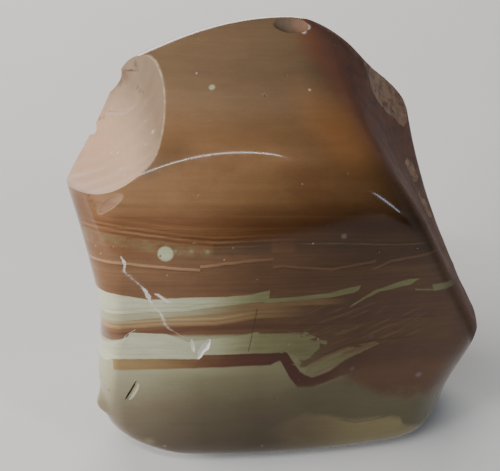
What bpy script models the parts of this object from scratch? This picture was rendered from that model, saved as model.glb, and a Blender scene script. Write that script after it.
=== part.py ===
"""Agate palm stone: one polished piece of banded agate, about 75 mm wide, that stands on a small ground flat.

The polished skin is ground facet by facet. Each facet is a slightly domed or hollow face, and it meets the
faces ground before it at an edge of its own softness. Chips are bites taken out of that skin afterwards.
All lengths are in millimetres until the mesh is written, which is in metres. X runs to the right, Y away
from the front face and Z up. The origin is under the middle of the stone, on the surface it stands on.
"""

import math
from typing import NamedTuple

import bmesh
import bpy
import numpy as np
from mathutils import Matrix, Vector

MM = 0.001

# Where the origin lies in the frame the facets and chips are written in.
FOOT_CENTRE = (1.82, 0.39, 0.0)
# A point well inside the stone. Every point of the skin is in plain sight of it, and within REACH.
CORE = np.array([0.0, 0.0, 38.0])
REACH = 70.0

# The mesh of the skin starts as an icosphere. Edges are split where the skin turns by more than MOST_TURN.
ICO_STEPS = 5
MOST_TURN = 20.0
SHORTEST_EDGE = 1.2
SPLIT_ROUNDS = 2
CUTTER_STEPS_LARGE = 5
CUTTER_STEPS_SMALL = 3
LARGE_CUTTER = 12.0

FLAT = 0.0  # the radius that stands for no curve at all


class Facet(NamedTuple):
    """One ground face: where it lies, which way it faces, and how it is domed (+) or hollowed (-)."""

    name: str
    point: tuple
    facing: float  # degrees round Z: 0 is the front, 90 the right side
    tilt: float  # degrees up from level
    across: float  # radius of its curve from side to side
    along: float  # radius of its curve up and down
    edge: float  # softness of its edges with the facets above it in the list


class Chip(NamedTuple):
    """One bite out of the skin, the shape of an ellipsoid sunk in it."""

    name: str
    floor: tuple  # the deepest point of the bite
    facing: float
    tilt: float
    roll: float  # degrees its long axis leans to the left
    radii: tuple  # across, along and into the stone


FACETS = [
    Facet("front", (-8, -20.5, 28), 3, -4, 220, FLAT, 0),
    Facet("back", (2, 20, 35), 188, -6, 55, FLAT, 10),
    Facet("left", (-36.8, 0, 55.5), -95, -53.6, 60, -13.5, 8),
    Facet("left_tip", (-36.1, -2, 54), -85, -4, 60, FLAT, 3),
    Facet("right", (23, 2, 56.5), 82, 29, -35, FLAT, 6),
    Facet("back_right", (24, 17.5, 51), 125, -7, FLAT, -60, 5),
    Facet("bulge", (43, 3, 20), 92, -4, 57, 62, 6),
    Facet("shoulder", (-6, -17, 64.5), -10, 51, FLAT, -125, 16),
    Facet("crown", (-2, 1.5, 75), -5, 56, 56, -68, 1),
    Facet("back_top", (5, 15.5, 68.4), 180, 32, 200, -31, 6),
    Facet("lower_right", (36.5, 0, 10.5), 69, -12, 250, -42, 5),
    Facet("lower_left", (-24.5, -10.5, 1), -42, -45, -39, 190, 3),
    Facet("underside", (2, 0, -0.35), 0, -90, 400, 120, 6.5),
]
# The crown's edge is crisp at the front left and grows softer to the right and to the back.
CROWN_SOFTER_RIGHT = (3.0, 0.0, 14.0)  # how much softer, and the x where that starts and ends
CROWN_SOFTER_BACK = (1.5, -8.0, 6.0)  # the same, along y

CHIPS = [
    Chip("corner_scar", (-3.08, -20.62, 79.56), -75, 38.5, -48.7, (18.44, 51.88, 7.41)),
    Chip("scar_ledge", (-26.6, 9.2, 66.0), -74, 46, 20, (3.2, 3.2, 3.0)),
    Chip("scar_notch", (-30.6, 6.6, 58.9), -80, 40, 0, (1.8, 1.4, 3.0)),
    Chip("edge_flake", (-25.6, -15.7, 58.5), -22, 28, 40, (4.3, 1.3, 1.4)),
    Chip("top_chip", (3.6, 7.7, 78.3), 4, 61, -6, (3.7, 2.0, 2.0)),
    Chip("front_pit", (-12.0, -20.3, 32.6), 2, -4, 0, (1.5, 2.6, 1.4)),
    Chip("crescent", (-24.4, -17.6, 19.8), -33, 2, -25, (0.5, 5.5, 1.6)),
    Chip("right_scar_high", (21.9, 14.2, 62.5), 70, 35, 18, (8.4, 11.2, 4.0)),
    Chip("right_scar_middle", (27.0, 8.2, 49.8), 85, 23, 10, (4, 5, 3)),
    Chip("right_scar_low", (28.4, 5.2, 45.6), 88, 22, 0, (3, 4.5, 2.5)),
]


def smooth_step(x, low, high):
    t = np.clip((x - low) / (high - low), 0, 1)
    return t * t * (3 - 2 * t)


def rounded_max(a, b, edge):
    overlap = np.maximum(edge - np.abs(a - b), 0) / edge
    return np.maximum(a, b) + overlap**2 * edge / 4


def face_axes(facing, tilt):
    """Sideways, upslope and outward directions of a face."""
    a, e = math.radians(facing), math.radians(tilt)
    outward = np.array([math.sin(a) * math.cos(e), -math.cos(a) * math.cos(e), math.sin(e)])
    sideways = np.array([math.cos(a), math.sin(a), 0.0])
    return sideways, np.cross(outward, sideways), outward


def facet_height(points, facet):
    """How far points stand proud of a facet."""
    sideways, upslope, outward = face_axes(facet.facing, facet.tilt)
    offset = points - np.array(facet.point, float)
    height = offset @ outward
    if facet.across:
        height = height + (offset @ sideways) ** 2 / (2 * facet.across)
    if facet.along:
        height = height + (offset @ upslope) ** 2 / (2 * facet.along)
    return height


def edge_softness(points, facet):
    if facet.name != "crown":
        return facet.edge
    more_right, x0, x1 = CROWN_SOFTER_RIGHT
    more_back, y0, y1 = CROWN_SOFTER_BACK
    right = more_right * smooth_step(points[:, 0], x0, x1)
    return facet.edge + right + more_back * smooth_step(points[:, 1], y0, y1)


def skin_height(points):
    """How far points stand proud of the polished skin. It is below zero inside the stone."""
    height = facet_height(points, FACETS[0])
    for facet in FACETS[1:]:
        height = rounded_max(height, facet_height(points, facet), edge_softness(points, facet))
    return height


def onto_skin(points):
    """Moves points along their lines from CORE until they lie on the skin."""
    directions = points - CORE
    directions /= np.linalg.norm(directions, axis=1, keepdims=True)
    low, high = np.zeros(len(points)), np.full(len(points), REACH)
    for _ in range(40):
        middle = (low + high) / 2
        inside = skin_height(CORE + directions * middle[:, None]) < 0
        low, high = np.where(inside, middle, low), np.where(inside, high, middle)
    return CORE + directions * high[:, None]


def skin_normals(points, step=0.05):
    slopes = [skin_height(points + s) - skin_height(points - s) for s in np.eye(3) * step]
    slope = np.stack(slopes, axis=1)
    return slope / np.linalg.norm(slope, axis=1, keepdims=True)


def places(bm):
    return np.array([vertex.co for vertex in bm.verts])


def settle(bm):
    for vertex, point in zip(bm.verts, onto_skin(places(bm))):
        vertex.co = point


def split_where_it_turns(bm):
    """Halves the edges across which the skin turns a lot, and settles the new vertices on the skin."""
    bm.verts.index_update()
    normals = skin_normals(places(bm))
    least_dot = math.cos(math.radians(MOST_TURN))
    long_enough = [edge for edge in bm.edges if edge.calc_length() > SHORTEST_EDGE]
    turning = [
        edge
        for edge in long_enough
        if normals[edge.verts[0].index] @ normals[edge.verts[1].index] < least_dot
    ]
    bmesh.ops.subdivide_edges(bm, edges=turning, cuts=1)
    bmesh.ops.triangulate(bm, faces=bm.faces[:])
    settle(bm)


def grind_flat(bm):
    """Cuts the underside off level at z = 0 and closes it with one flat face."""
    everything = bm.verts[:] + bm.edges[:] + bm.faces[:]
    cut = bmesh.ops.bisect_plane(
        bm, geom=everything, dist=1e-4, plane_co=(0, 0, 0), plane_no=(0, 0, -1), clear_outer=True
    )
    rim = [part for part in cut["geom_cut"] if isinstance(part, bmesh.types.BMEdge)]
    bmesh.ops.contextual_create(bm, geom=rim)
    bmesh.ops.recalc_face_normals(bm, faces=bm.faces[:])


def polished_body():
    """The stone before it was chipped."""
    bm = bmesh.new()
    middle = Matrix.Translation(Vector(CORE))
    bmesh.ops.create_icosphere(bm, subdivisions=ICO_STEPS, radius=1, matrix=middle)
    settle(bm)
    for _ in range(SPLIT_ROUNDS):
        split_where_it_turns(bm)
    grind_flat(bm)
    return bm


def chip_matrix(chip):
    """Turns a unit sphere into the ellipsoid of a chip."""
    sideways, upslope, outward = (Vector(axis) for axis in face_axes(chip.facing, chip.tilt))
    frame = Matrix((sideways, upslope, outward)).transposed().to_4x4()
    centre = Vector(chip.floor) + outward * chip.radii[2]
    roll = Matrix.Rotation(math.radians(chip.roll), 4, "Z")
    return Matrix.Translation(centre) @ frame @ roll @ Matrix.Diagonal((*chip.radii, 1))


def chip_cutter(chip):
    steps = CUTTER_STEPS_LARGE if max(chip.radii) > LARGE_CUTTER else CUTTER_STEPS_SMALL
    bm = bmesh.new()
    bmesh.ops.create_icosphere(bm, subdivisions=steps, radius=1, matrix=chip_matrix(chip))
    return bm


def as_object(bm, name, collection):
    """Writes a bmesh, in metres and about the origin, to an object in a collection."""
    to_origin = Matrix.Translation(-Vector(FOOT_CENTRE))
    bmesh.ops.transform(bm, matrix=Matrix.Scale(MM, 4) @ to_origin, verts=bm.verts[:])
    mesh = bpy.data.meshes.new(name)
    bm.to_mesh(mesh)
    bm.free()
    obj = bpy.data.objects.new(name, mesh)
    collection.objects.link(obj)
    return obj


def polished_agate():
    material = bpy.data.materials.new("polished_agate")
    material.use_nodes = True
    shader = material.node_tree.nodes["Principled BSDF"]
    shader.inputs["Base Color"].default_value = (0.28, 0.17, 0.10, 1)
    shader.inputs["Roughness"].default_value = 0.18
    shader.inputs["Metallic"].default_value = 0.0
    return material


def new_collection(name):
    collection = bpy.data.collections.new(name)
    bpy.context.scene.collection.children.link(collection)
    return collection


def chip_away(stone, chips, collection):
    for chip in chips:
        cutter = as_object(chip_cutter(chip), "cutter_" + chip.name, collection)
        cutter.hide_render = True
        cutter.display_type = "WIRE"
        cut = stone.modifiers.new(chip.name, "BOOLEAN")
        cut.operation = "DIFFERENCE"
        cut.solver = "EXACT"
        cut.object = cutter


def main():
    for old in list(bpy.data.objects):
        bpy.data.objects.remove(old)
    parts = new_collection("agate_palm_stone")
    cutters = new_collection("cutters")
    stone = as_object(polished_body(), "stone", parts)
    stone.data.materials.append(polished_agate())
    stone.data.shade_smooth()
    stone.data.set_sharp_from_angle(angle=math.radians(35))
    chip_away(stone, CHIPS, cutters)


main()
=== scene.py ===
"""Agate palm stone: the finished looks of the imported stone.

The skin, the facets and the chips are those of the part, made again in a finer mesh with broken relief in
the chips. Lengths are in millimetres until a mesh is written, which is in metres. X runs to the right,
Y away from the front face and Z up, and the origin is under the middle of the stone.
"""

import math
from typing import NamedTuple

import bmesh
import bpy
import numpy as np
from mathutils import Matrix, Vector


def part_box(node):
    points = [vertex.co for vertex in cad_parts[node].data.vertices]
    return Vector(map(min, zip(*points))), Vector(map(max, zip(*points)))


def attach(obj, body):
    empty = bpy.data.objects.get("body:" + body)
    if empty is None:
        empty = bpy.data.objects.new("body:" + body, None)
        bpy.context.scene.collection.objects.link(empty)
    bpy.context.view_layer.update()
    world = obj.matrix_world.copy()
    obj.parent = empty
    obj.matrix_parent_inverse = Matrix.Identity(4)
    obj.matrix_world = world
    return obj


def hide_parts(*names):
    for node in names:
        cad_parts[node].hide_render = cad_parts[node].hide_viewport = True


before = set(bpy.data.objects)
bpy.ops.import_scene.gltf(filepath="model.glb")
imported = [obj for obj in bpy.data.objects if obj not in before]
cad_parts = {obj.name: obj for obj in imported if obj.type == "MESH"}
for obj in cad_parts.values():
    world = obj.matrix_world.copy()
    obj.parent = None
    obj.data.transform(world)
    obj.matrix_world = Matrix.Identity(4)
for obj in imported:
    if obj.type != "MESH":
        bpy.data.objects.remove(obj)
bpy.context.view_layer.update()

MM = 0.001

# ---------------------------------------------------------------------------------------------------------
# The stone's facets and chips
# ---------------------------------------------------------------------------------------------------------

# Where the origin lies in the frame the facets and chips are written in.
FOOT_CENTRE = np.array([1.82, 0.39, 0.0])
# A point well inside the stone. Every point of the skin is in plain sight of it, and within REACH.
CORE = np.array([0.0, 0.0, 38.0])
REACH = 70.0
HALVINGS = 36  # steps in which a point on the skin is closed in on

# The mesh of the skin starts as an icosphere. Edges are split where the skin turns by more than MOST_TURN.
ICO_STEPS = 6
MOST_TURN = 5.0
SHORTEST_EDGE = 0.5
SPLIT_ROUNDS = 3
# The mesh of a chip, which is finer where it lies in the stone.
CUTTER_STEPS = 4
CUTTER_ROUNDS = 5
CUTTER_MARGIN = 1.0  # how far out of the stone it is still fine
LARGE_CHIP = 12.0
FINE_EDGE = 0.3
FINE_EDGE_LARGE = 0.45  # for chips with a radius over LARGE_CHIP
SHARP_TURN = 40.0  # edges that turn by more than this stay crisp

FLAT = 0.0  # the radius that stands for no curve at all


class Facet(NamedTuple):
    """One ground face: where it lies, which way it faces, and how it is domed (+) or hollowed (-)."""

    name: str
    point: tuple
    facing: float  # degrees round Z: 0 is the front, 90 the right side
    tilt: float  # degrees up from level
    across: float  # radius of its curve from side to side
    along: float  # radius of its curve up and down
    edge: float  # softness of its edges with the facets above it in the list


class Chip(NamedTuple):
    """One bite out of the skin: an ellipsoid with a broken surface."""

    name: str
    floor: tuple  # the deepest point of the bite
    facing: float
    tilt: float
    roll: float  # degrees its long axis leans to the left
    radii: tuple  # across, along and into the stone
    grain: float  # height of the rough grain of the break
    ripples: float  # height of the waves that run out from where it was struck


FACETS = [
    Facet("front", (-8, -20.5, 28), 3, -4, 220, FLAT, 0),
    Facet("back", (2, 20, 35), 188, -6, 55, FLAT, 10),
    Facet("left", (-36.8, 0, 55.5), -95, -53.6, 60, -13.5, 8),
    Facet("left_tip", (-36.1, -2, 54), -85, -4, 60, FLAT, 3),
    Facet("right", (23, 2, 56.5), 82, 29, -35, FLAT, 6),
    Facet("back_right", (24, 17.5, 51), 125, -7, FLAT, -60, 5),
    Facet("bulge", (43, 3, 20), 92, -4, 57, 62, 6),
    Facet("shoulder", (-6, -17, 64.5), -10, 51, FLAT, -125, 16),
    Facet("crown", (-2, 1.5, 75), -5, 56, 56, -68, 1),
    Facet("back_top", (5, 15.5, 68.4), 180, 32, 200, -31, 6),
    Facet("lower_right", (36.5, 0, 10.5), 69, -12, 250, -42, 5),
    Facet("lower_left", (-24.5, -10.5, 1), -42, -45, -39, 190, 3),
    Facet("underside", (2, 0, -0.35), 0, -90, 400, 120, 6.5),
]
# The crown's edge is crisp at the front left and grows softer to the right and to the back.
CROWN_SOFTER_RIGHT = (3.0, 0.0, 14.0)  # how much softer, and the x where that starts and ends
CROWN_SOFTER_BACK = (1.5, -8.0, 6.0)  # the same, along y

CHIPS = [
    Chip("corner_scar", (-3.08, -20.62, 79.56), -75, 38.5, -48.7, (18.44, 51.88, 7.41), 0.06, 0.1),
    Chip("scar_ledge", (-26.6, 9.2, 66.0), -74, 46, 20, (3.2, 3.2, 3.0), 0.1, 0),
    Chip("scar_notch", (-30.6, 6.6, 58.9), -80, 40, 0, (1.8, 1.4, 3.0), 0.1, 0),
    Chip("edge_flake", (-25.95, -16.1, 58.82), -22, 28, 42, (6.2, 1.2, 0.95), 0.02, 0),
    Chip("top_chip", (3.6, 7.7, 78.3), 4, 61, -6, (3.7, 2.0, 2.0), 0.05, 0),
    Chip("front_splinter", (-11.75, -20.35, 31.9), 22, -4, -24, (0.66, 2.8, 0.8), 0.16, 0),
    Chip("front_splinter_small", (-13.25, -20.75, 32.7), -12, -4, 4, (0.3, 1.7, 0.5), 0.04, 0),
    Chip("crescent", (-24.2, -19.4, 21.8), -25, 0, -25, (0.15, 2.9, 0.95), 0.0, 0),
    Chip("crescent_shell", (-24.1, -19.85, 21.5), -12, 0, -25, (0.62, 2.4, 0.5), 0.02, 0),
    Chip("right_scar_high", (21.6, 13.6, 62.1), 70, 35, 18, (9.2, 12.0, 4.1), 0.25, 0),
    Chip("right_scar_middle", (24.6, 4.0, 52.7), 85, 23, 10, (3.0, 4.6, 2.5), 0.2, 0),
    Chip("right_scar_low", (27.1, 1.0, 47.6), 88, 22, 0, (2.3, 4.4, 2.0), 0.2, 0),
]


def named(things, name):
    return next(thing for thing in things if thing.name == name)


RIGHT_FACET = named(FACETS, "right")
CORNER_SCAR = named(CHIPS, "corner_scar")
EDGE_FLAKE = named(CHIPS, "edge_flake")
CRESCENT = named(CHIPS, "crescent")
CRESCENT_SHELL = named(CHIPS, "crescent_shell")

# Swellings of the skin: place, height and spread.
SWELLINGS = [
    ((-30.4, -16.6, 15.6), 2.2, 1.6),
    ((-31.8, -13.5, 24.0), 0.8, 6.5),
]

# The worn right facet: how deep it is worn, and how far off the facet's own surface the wear and the dulled
# polish round it start and end.
WORN_DEPTH = 0.45
WORN_EDGE = (-1.3, -0.1)
POLISH_FADES = (-4.5, -2.3)

# The corner scar: where it was struck, the ripples that run out from there, the lines of its step and of its
# ledge as (x, z) pairs, and its short torn ridges.
STRIKE = np.array([-30.0, 12.0, 72.0])
RIPPLE_LENGTH = 3.4
SCAR_STEP = [
    (-32.0, 59.6),
    (-30.4, 61.0),
    (-28.7, 62.7),
    (-26.7, 63.6),
    (-24.7, 64.8),
    (-22.9, 66.5),
    (-21.0, 68.6),
]
STEP_HEIGHT = 0.3
SCAR_LEDGE = [(-28.5, 68.2), (-26.8, 68.9), (-25.3, 69.6), (-23.4, 70.3), (-22.0, 70.8)]
OVERHANG_DEPTH = 0.75
HACKLES = np.array([-29.6, 6.6, 61.6])
HACKLE_HEIGHT = 0.3
HACKLE_GRAIN = np.array([[0.62, 0.2, -0.76], [0.76, 0.1, 0.62], [0.0, 1.0, 0.0]])  # across, along and into
HACKLE_DRAWN_OUT = np.array([2.2, 0.5, 0.2])


def smooth_step(x, low, high):
    t = np.clip((x - low) / (high - low), 0, 1)
    return t * t * (3 - 2 * t)


def rounded_max(a, b, edge):
    overlap = np.maximum(edge - np.abs(a - b), 0) / edge
    return np.maximum(a, b) + overlap**2 * edge / 4


def face_axes(facing, tilt):
    """Sideways, upslope and outward directions of a face."""
    a, e = math.radians(facing), math.radians(tilt)
    outward = np.array([math.sin(a) * math.cos(e), -math.cos(a) * math.cos(e), math.sin(e)])
    sideways = np.array([math.cos(a), math.sin(a), 0.0])
    return sideways, np.cross(outward, sideways), outward


def facet_height(points, facet):
    """How far points stand proud of a facet."""
    sideways, upslope, outward = face_axes(facet.facing, facet.tilt)
    offset = points - np.array(facet.point, float)
    height = offset @ outward
    if facet.across:
        height = height + (offset @ sideways) ** 2 / (2 * facet.across)
    if facet.along:
        height = height + (offset @ upslope) ** 2 / (2 * facet.along)
    return height


def edge_softness(points, facet):
    if facet.name != "crown":
        return facet.edge
    more_right, x0, x1 = CROWN_SOFTER_RIGHT
    more_back, y0, y1 = CROWN_SOFTER_BACK
    right = more_right * smooth_step(points[:, 0], x0, x1)
    return facet.edge + right + more_back * smooth_step(points[:, 1], y0, y1)


def lattice_value(cells, seed):
    """A number between -1 and 1 for each whole-number cell."""
    mixed = cells[:, 0] * 73856093 ^ cells[:, 1] * 19349663 ^ cells[:, 2] * 83492791 ^ seed * 2654435761
    mixed = (mixed ^ (mixed >> 13)) * 1274126177
    return ((mixed ^ (mixed >> 16)) & 0xFFFF) / 32767.5 - 1


def lumps(points, size, seed=1):
    """Soft lumps about `size` across, between -1 and 1."""
    scaled = points / size
    base = np.floor(scaled).astype(np.int64)
    part = scaled - base
    part = part * part * (3 - 2 * part)
    total = np.zeros(len(points))
    for corner in np.ndindex(2, 2, 2):
        weight = np.prod(np.where(np.array(corner) == 1, part, 1 - part), axis=1)
        total += weight * lattice_value(base + np.array(corner), seed)
    return total


def grain(points, size, seed=1, layers=3):
    """Lumps with finer lumps on them."""
    return sum(lumps(points, size / 2**k, seed + k) / 1.6**k for k in range(layers))


def worn_share(points):
    """1 on the worn right facet and 0 on the polished ones round it."""
    return smooth_step(facet_height(points, RIGHT_FACET), *WORN_EDGE)


def skin_height(points):
    """How far points stand proud of the skin. It is below zero inside the stone."""
    height = facet_height(points, FACETS[0])
    for facet in FACETS[1:]:
        height = rounded_max(height, facet_height(points, facet), edge_softness(points, facet))
    height = height + worn_share(points) * WORN_DEPTH * (1 + grain(points, 5.5, seed=21)) / 2
    for place, rise, spread in SWELLINGS:
        away = np.linalg.norm(points - np.array(place), axis=1) / spread
        height = height - rise * np.exp(-(away**2))
    return height


def onto_skin(points):
    """Moves points along their lines from CORE until they lie on the skin."""
    directions = points - CORE
    directions /= np.linalg.norm(directions, axis=1, keepdims=True)
    low, high = np.zeros(len(points)), np.full(len(points), REACH)
    for _ in range(HALVINGS):
        middle = (low + high) / 2
        inside = skin_height(CORE + directions * middle[:, None]) < 0
        low, high = np.where(inside, middle, low), np.where(inside, high, middle)
    return CORE + directions * high[:, None]


def skin_normals(points, step=0.05):
    slopes = [skin_height(points + s) - skin_height(points - s) for s in np.eye(3) * step]
    slope = np.stack(slopes, axis=1)
    return slope / np.linalg.norm(slope, axis=1, keepdims=True)


# ---------------------------------------------------------------------------------------------------------
# Meshes
# ---------------------------------------------------------------------------------------------------------

BROKEN = 2  # the place of the broken material on the stone, after the polished and the worn one


def places(bm):
    return np.array([vertex.co for vertex in bm.verts])


def settle(bm, points):
    for vertex, point in zip(bm.verts, points):
        vertex.co = point


def split_edges(bm, edges):
    bmesh.ops.subdivide_edges(bm, edges=edges, cuts=1)
    bmesh.ops.triangulate(bm, faces=bm.faces[:])


def split_where_it_turns(bm):
    """Halves the edges across which the skin turns a lot, and settles the new vertices on the skin."""
    bm.verts.index_update()
    normals = skin_normals(places(bm))
    least_dot = math.cos(math.radians(MOST_TURN))
    long_enough = [edge for edge in bm.edges if edge.calc_length() > SHORTEST_EDGE]
    turning = [
        edge
        for edge in long_enough
        if normals[edge.verts[0].index] @ normals[edge.verts[1].index] < least_dot
    ]
    split_edges(bm, turning)
    settle(bm, onto_skin(places(bm)))


def grind_flat(bm):
    """Cuts the underside off level at z = 0 and closes it with one flat face."""
    everything = bm.verts[:] + bm.edges[:] + bm.faces[:]
    cut = bmesh.ops.bisect_plane(
        bm, geom=everything, dist=1e-4, plane_co=(0, 0, 0), plane_no=(0, 0, -1), clear_outer=True
    )
    rim = [item for item in cut["geom_cut"] if isinstance(item, bmesh.types.BMEdge)]
    bmesh.ops.contextual_create(bm, geom=rim)
    bmesh.ops.recalc_face_normals(bm, faces=bm.faces[:])


def polished_body():
    """The stone before it was chipped."""
    bm = bmesh.new()
    middle = Matrix.Translation(Vector(CORE))
    bmesh.ops.create_icosphere(bm, subdivisions=ICO_STEPS, radius=1, matrix=middle)
    settle(bm, onto_skin(places(bm)))
    for _ in range(SPLIT_ROUNDS):
        split_where_it_turns(bm)
    grind_flat(bm)
    return bm


def chip_matrix(chip):
    """Turns a unit sphere into the ellipsoid of a chip."""
    sideways, upslope, outward = (Vector(axis) for axis in face_axes(chip.facing, chip.tilt))
    axes = Matrix((sideways, upslope, outward)).transposed().to_4x4()
    centre = Vector(chip.floor) + outward * chip.radii[2]
    roll = Matrix.Rotation(math.radians(chip.roll), 4, "Z")
    return Matrix.Translation(centre) @ axes @ roll @ Matrix.Diagonal((*chip.radii, 1))


def broken_relief(points, chip):
    """How far the broken surface stands out from the smooth ellipsoid of its chip."""
    depth = -skin_height(points)
    relief = chip.grain * grain(points, max(0.8, min(chip.radii) * 0.6), seed=7)
    if chip.ripples:
        away = np.linalg.norm(points - STRIKE, axis=1) + 1.2 * lumps(points, 9, seed=3)
        waves = np.sin(away * 2 * math.pi / RIPPLE_LENGTH) * smooth_step(away, 2, 9)
        relief = relief + chip.ripples * waves + scar_step(points) + scar_hackles(points)
        relief = relief + scar_overhang(points)
        relief = relief * smooth_step(depth, 0.1, 1.2)
    return relief


def scar_step(points):
    """The step across the corner scar, where the break jumped from one level to the next."""
    x = points[:, 0]
    above = points[:, 2] - np.interp(x, *zip(*SCAR_STEP)) + 0.1 * lumps(points, 1.6, seed=31)
    faded = smooth_step(x, -32.5, -29.4) * (1 - smooth_step(x, -24.0, -21.8))
    return STEP_HEIGHT * faded * smooth_step(above, -0.1, 0.1) * (1 - smooth_step(above, 0.4, 4.5))


def scar_overhang(points):
    """The hollow under the ledge at the top of the corner scar."""
    x = points[:, 0]
    below = np.interp(x, *zip(*SCAR_LEDGE)) - points[:, 2] + 0.15 * lumps(points, 1.2, seed=35)
    faded = smooth_step(x, -28.5, -26.8) * (1 - smooth_step(x, -24.6, -22.6))
    return OVERHANG_DEPTH * faded * smooth_step(below, -0.08, 0.14) * np.exp(-np.maximum(below, 0) / 1.3)


def scar_hackles(points):
    """Short torn ridges below the left end of the step."""
    near = 1 - smooth_step(np.linalg.norm(points - HACKLES, axis=1), 0.6, 3.2)
    drawn_out = np.stack([points @ axis * share for axis, share in zip(HACKLE_GRAIN, HACKLE_DRAWN_OUT)], axis=1)
    return HACKLE_HEIGHT * near * lumps(drawn_out, 1.3, seed=41)


def chip_cutter(chip):
    """The ellipsoid of a chip, with fine edges and broken relief where it lies in the stone."""
    matrix = np.array(chip_matrix(chip))
    finest = FINE_EDGE_LARGE if max(chip.radii) > LARGE_CHIP else FINE_EDGE
    bm = bmesh.new()
    bmesh.ops.create_icosphere(bm, subdivisions=CUTTER_STEPS, radius=1)
    for _ in range(CUTTER_ROUNDS):
        bm.verts.index_update()
        real = places(bm) @ matrix[:3, :3].T + matrix[:3, 3]
        near = skin_height(real) < CUTTER_MARGIN
        ends = np.array([[edge.verts[0].index, edge.verts[1].index] for edge in bm.edges])
        length = np.linalg.norm(real[ends[:, 0]] - real[ends[:, 1]], axis=1)
        wanted = (length > finest) & (near[ends[:, 0]] | near[ends[:, 1]])
        if not wanted.any():
            break
        edges = bm.edges[:]
        split_edges(bm, [edges[i] for i in np.nonzero(wanted)[0]])
        unit = places(bm)
        settle(bm, unit / np.linalg.norm(unit, axis=1, keepdims=True))
    unit = places(bm)
    real = unit @ matrix[:3, :3].T + matrix[:3, 3]
    outward = unit @ np.linalg.inv(matrix[:3, :3])
    outward /= np.linalg.norm(outward, axis=1, keepdims=True)
    settle(bm, real + outward * broken_relief(real, chip)[:, None])
    return bm


def as_object(bm, name, material):
    """Writes a bmesh, in metres and about the origin, to an object."""
    to_origin = Matrix.Translation(-Vector(FOOT_CENTRE))
    bmesh.ops.transform(bm, matrix=Matrix.Scale(MM, 4) @ to_origin, verts=bm.verts[:])
    mesh = bpy.data.meshes.new(name)
    bm.to_mesh(mesh)
    bm.free()
    mesh.materials.append(material)
    obj = bpy.data.objects.new(name, mesh)
    bpy.context.scene.collection.objects.link(obj)
    return obj


def numbers(items, name, kind=float):
    """One number for each item of a mesh, such as each face."""
    found = np.zeros(len(items), kind)
    items.foreach_get(name, found)
    return found


def triples(items, name):
    """A place or a direction for each item of a mesh."""
    found = np.zeros(len(items) * 3)
    items.foreach_get(name, found)
    return found.reshape(-1, 3)


def leave_unpolished(mesh):
    """Gives the faces of the worn right facet the second material."""
    off_facet = facet_height(triples(mesh.polygons, "center") / MM + FOOT_CENTRE, RIGHT_FACET)
    mesh.polygons.foreach_set("material_index", (off_facet > POLISH_FADES[1]).astype(np.int32))


def pinhole_nodes(material):
    """Beads strewn over the front of a mesh, thickly in one layer and thinly elsewhere, for cutting pinholes.

    All its sizes and heights are in metres, and it strews up to Crowding beads on a square metre.
    """
    tree = bpy.data.node_groups.new("pinholes", "GeometryNodeTree")
    tree.interface.new_socket("Geometry", in_out="INPUT", socket_type="NodeSocketGeometry")
    for label, kind, value in (
        ("Seed", "NodeSocketInt", 5),
        ("Spacing", "NodeSocketFloat", 0.0011),
        ("Crowding", "NodeSocketFloat", 200000.0),
        ("Thin Share", "NodeSocketFloat", 0.03),
        ("Layer Low", "NodeSocketFloat", 0.0513),
        ("Layer High", "NodeSocketFloat", 0.0537),
        ("Smallest", "NodeSocketFloat", 0.0001),
        ("Largest", "NodeSocketFloat", 0.00026),
    ):
        socket = tree.interface.new_socket(label, in_out="INPUT", socket_type=kind)
        socket.default_value = value
    tree.interface.new_socket("Geometry", in_out="OUTPUT", socket_type="NodeSocketGeometry")
    n = Nodes(tree)
    given, result = n.add("NodeGroupInput").outputs, n.add("NodeGroupOutput").inputs

    x, y, z = n.split(n.add("GeometryNodeInputPosition").outputs[0])
    # In the layer the beads are thick at the left, and a quarter as thick at the right.
    level = n.plus(z, n.times(n.minus(y, DIP_START * MM), DIP))
    in_layer = n.times(
        n.math("GREATER_THAN", level, given["Layer Low"]), n.math("LESS_THAN", level, given["Layer High"])
    )
    front = n.times(n.math("LESS_THAN", y, 4 * MM), n.math("GREATER_THAN", z, 8 * MM))
    strewn = n.add("GeometryNodeDistributePointsOnFaces", distribute_method="POISSON")
    n.plug(strewn.inputs["Mesh"], given["Geometry"])
    n.plug(strewn.inputs["Distance Min"], given["Spacing"])
    n.plug(strewn.inputs["Density Max"], given["Crowding"])
    thick = n.times(in_layer, n.plus(0.25, n.times(n.math("LESS_THAN", x, -7 * MM), 0.75)))
    n.plug(strewn.inputs["Density Factor"], n.times(front, n.most(thick, given["Thin Share"])))
    n.plug(strewn.inputs["Seed"], given["Seed"])
    bead = n.add("GeometryNodeMeshIcoSphere")
    bead.inputs["Radius"].default_value = 1.0
    bead.inputs["Subdivisions"].default_value = 2
    size = n.add("FunctionNodeRandomValue", data_type="FLOAT")
    n.plug(size.inputs[2], given["Smallest"])
    n.plug(size.inputs[3], given["Largest"])
    n.plug(size.inputs["Seed"], given["Seed"])
    placed = n.add("GeometryNodeInstanceOnPoints")
    n.plug(placed.inputs["Points"], strewn.outputs["Points"])
    n.plug(placed.inputs["Instance"], bead.outputs["Mesh"])
    n.plug(placed.inputs["Rotation"], strewn.outputs["Rotation"])
    wide = size.outputs[1]
    n.plug(placed.inputs["Scale"], n.join(wide, n.times(wide, 0.8), n.times(wide, 0.9)))
    real = n.add("GeometryNodeRealizeInstances")
    n.plug(real.inputs[0], placed.outputs[0])
    painted = n.add("GeometryNodeSetMaterial")
    n.plug(painted.inputs["Geometry"], real.outputs[0])
    painted.inputs["Material"].default_value = material
    n.plug(result["Geometry"], painted.outputs[0])
    return tree


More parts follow.
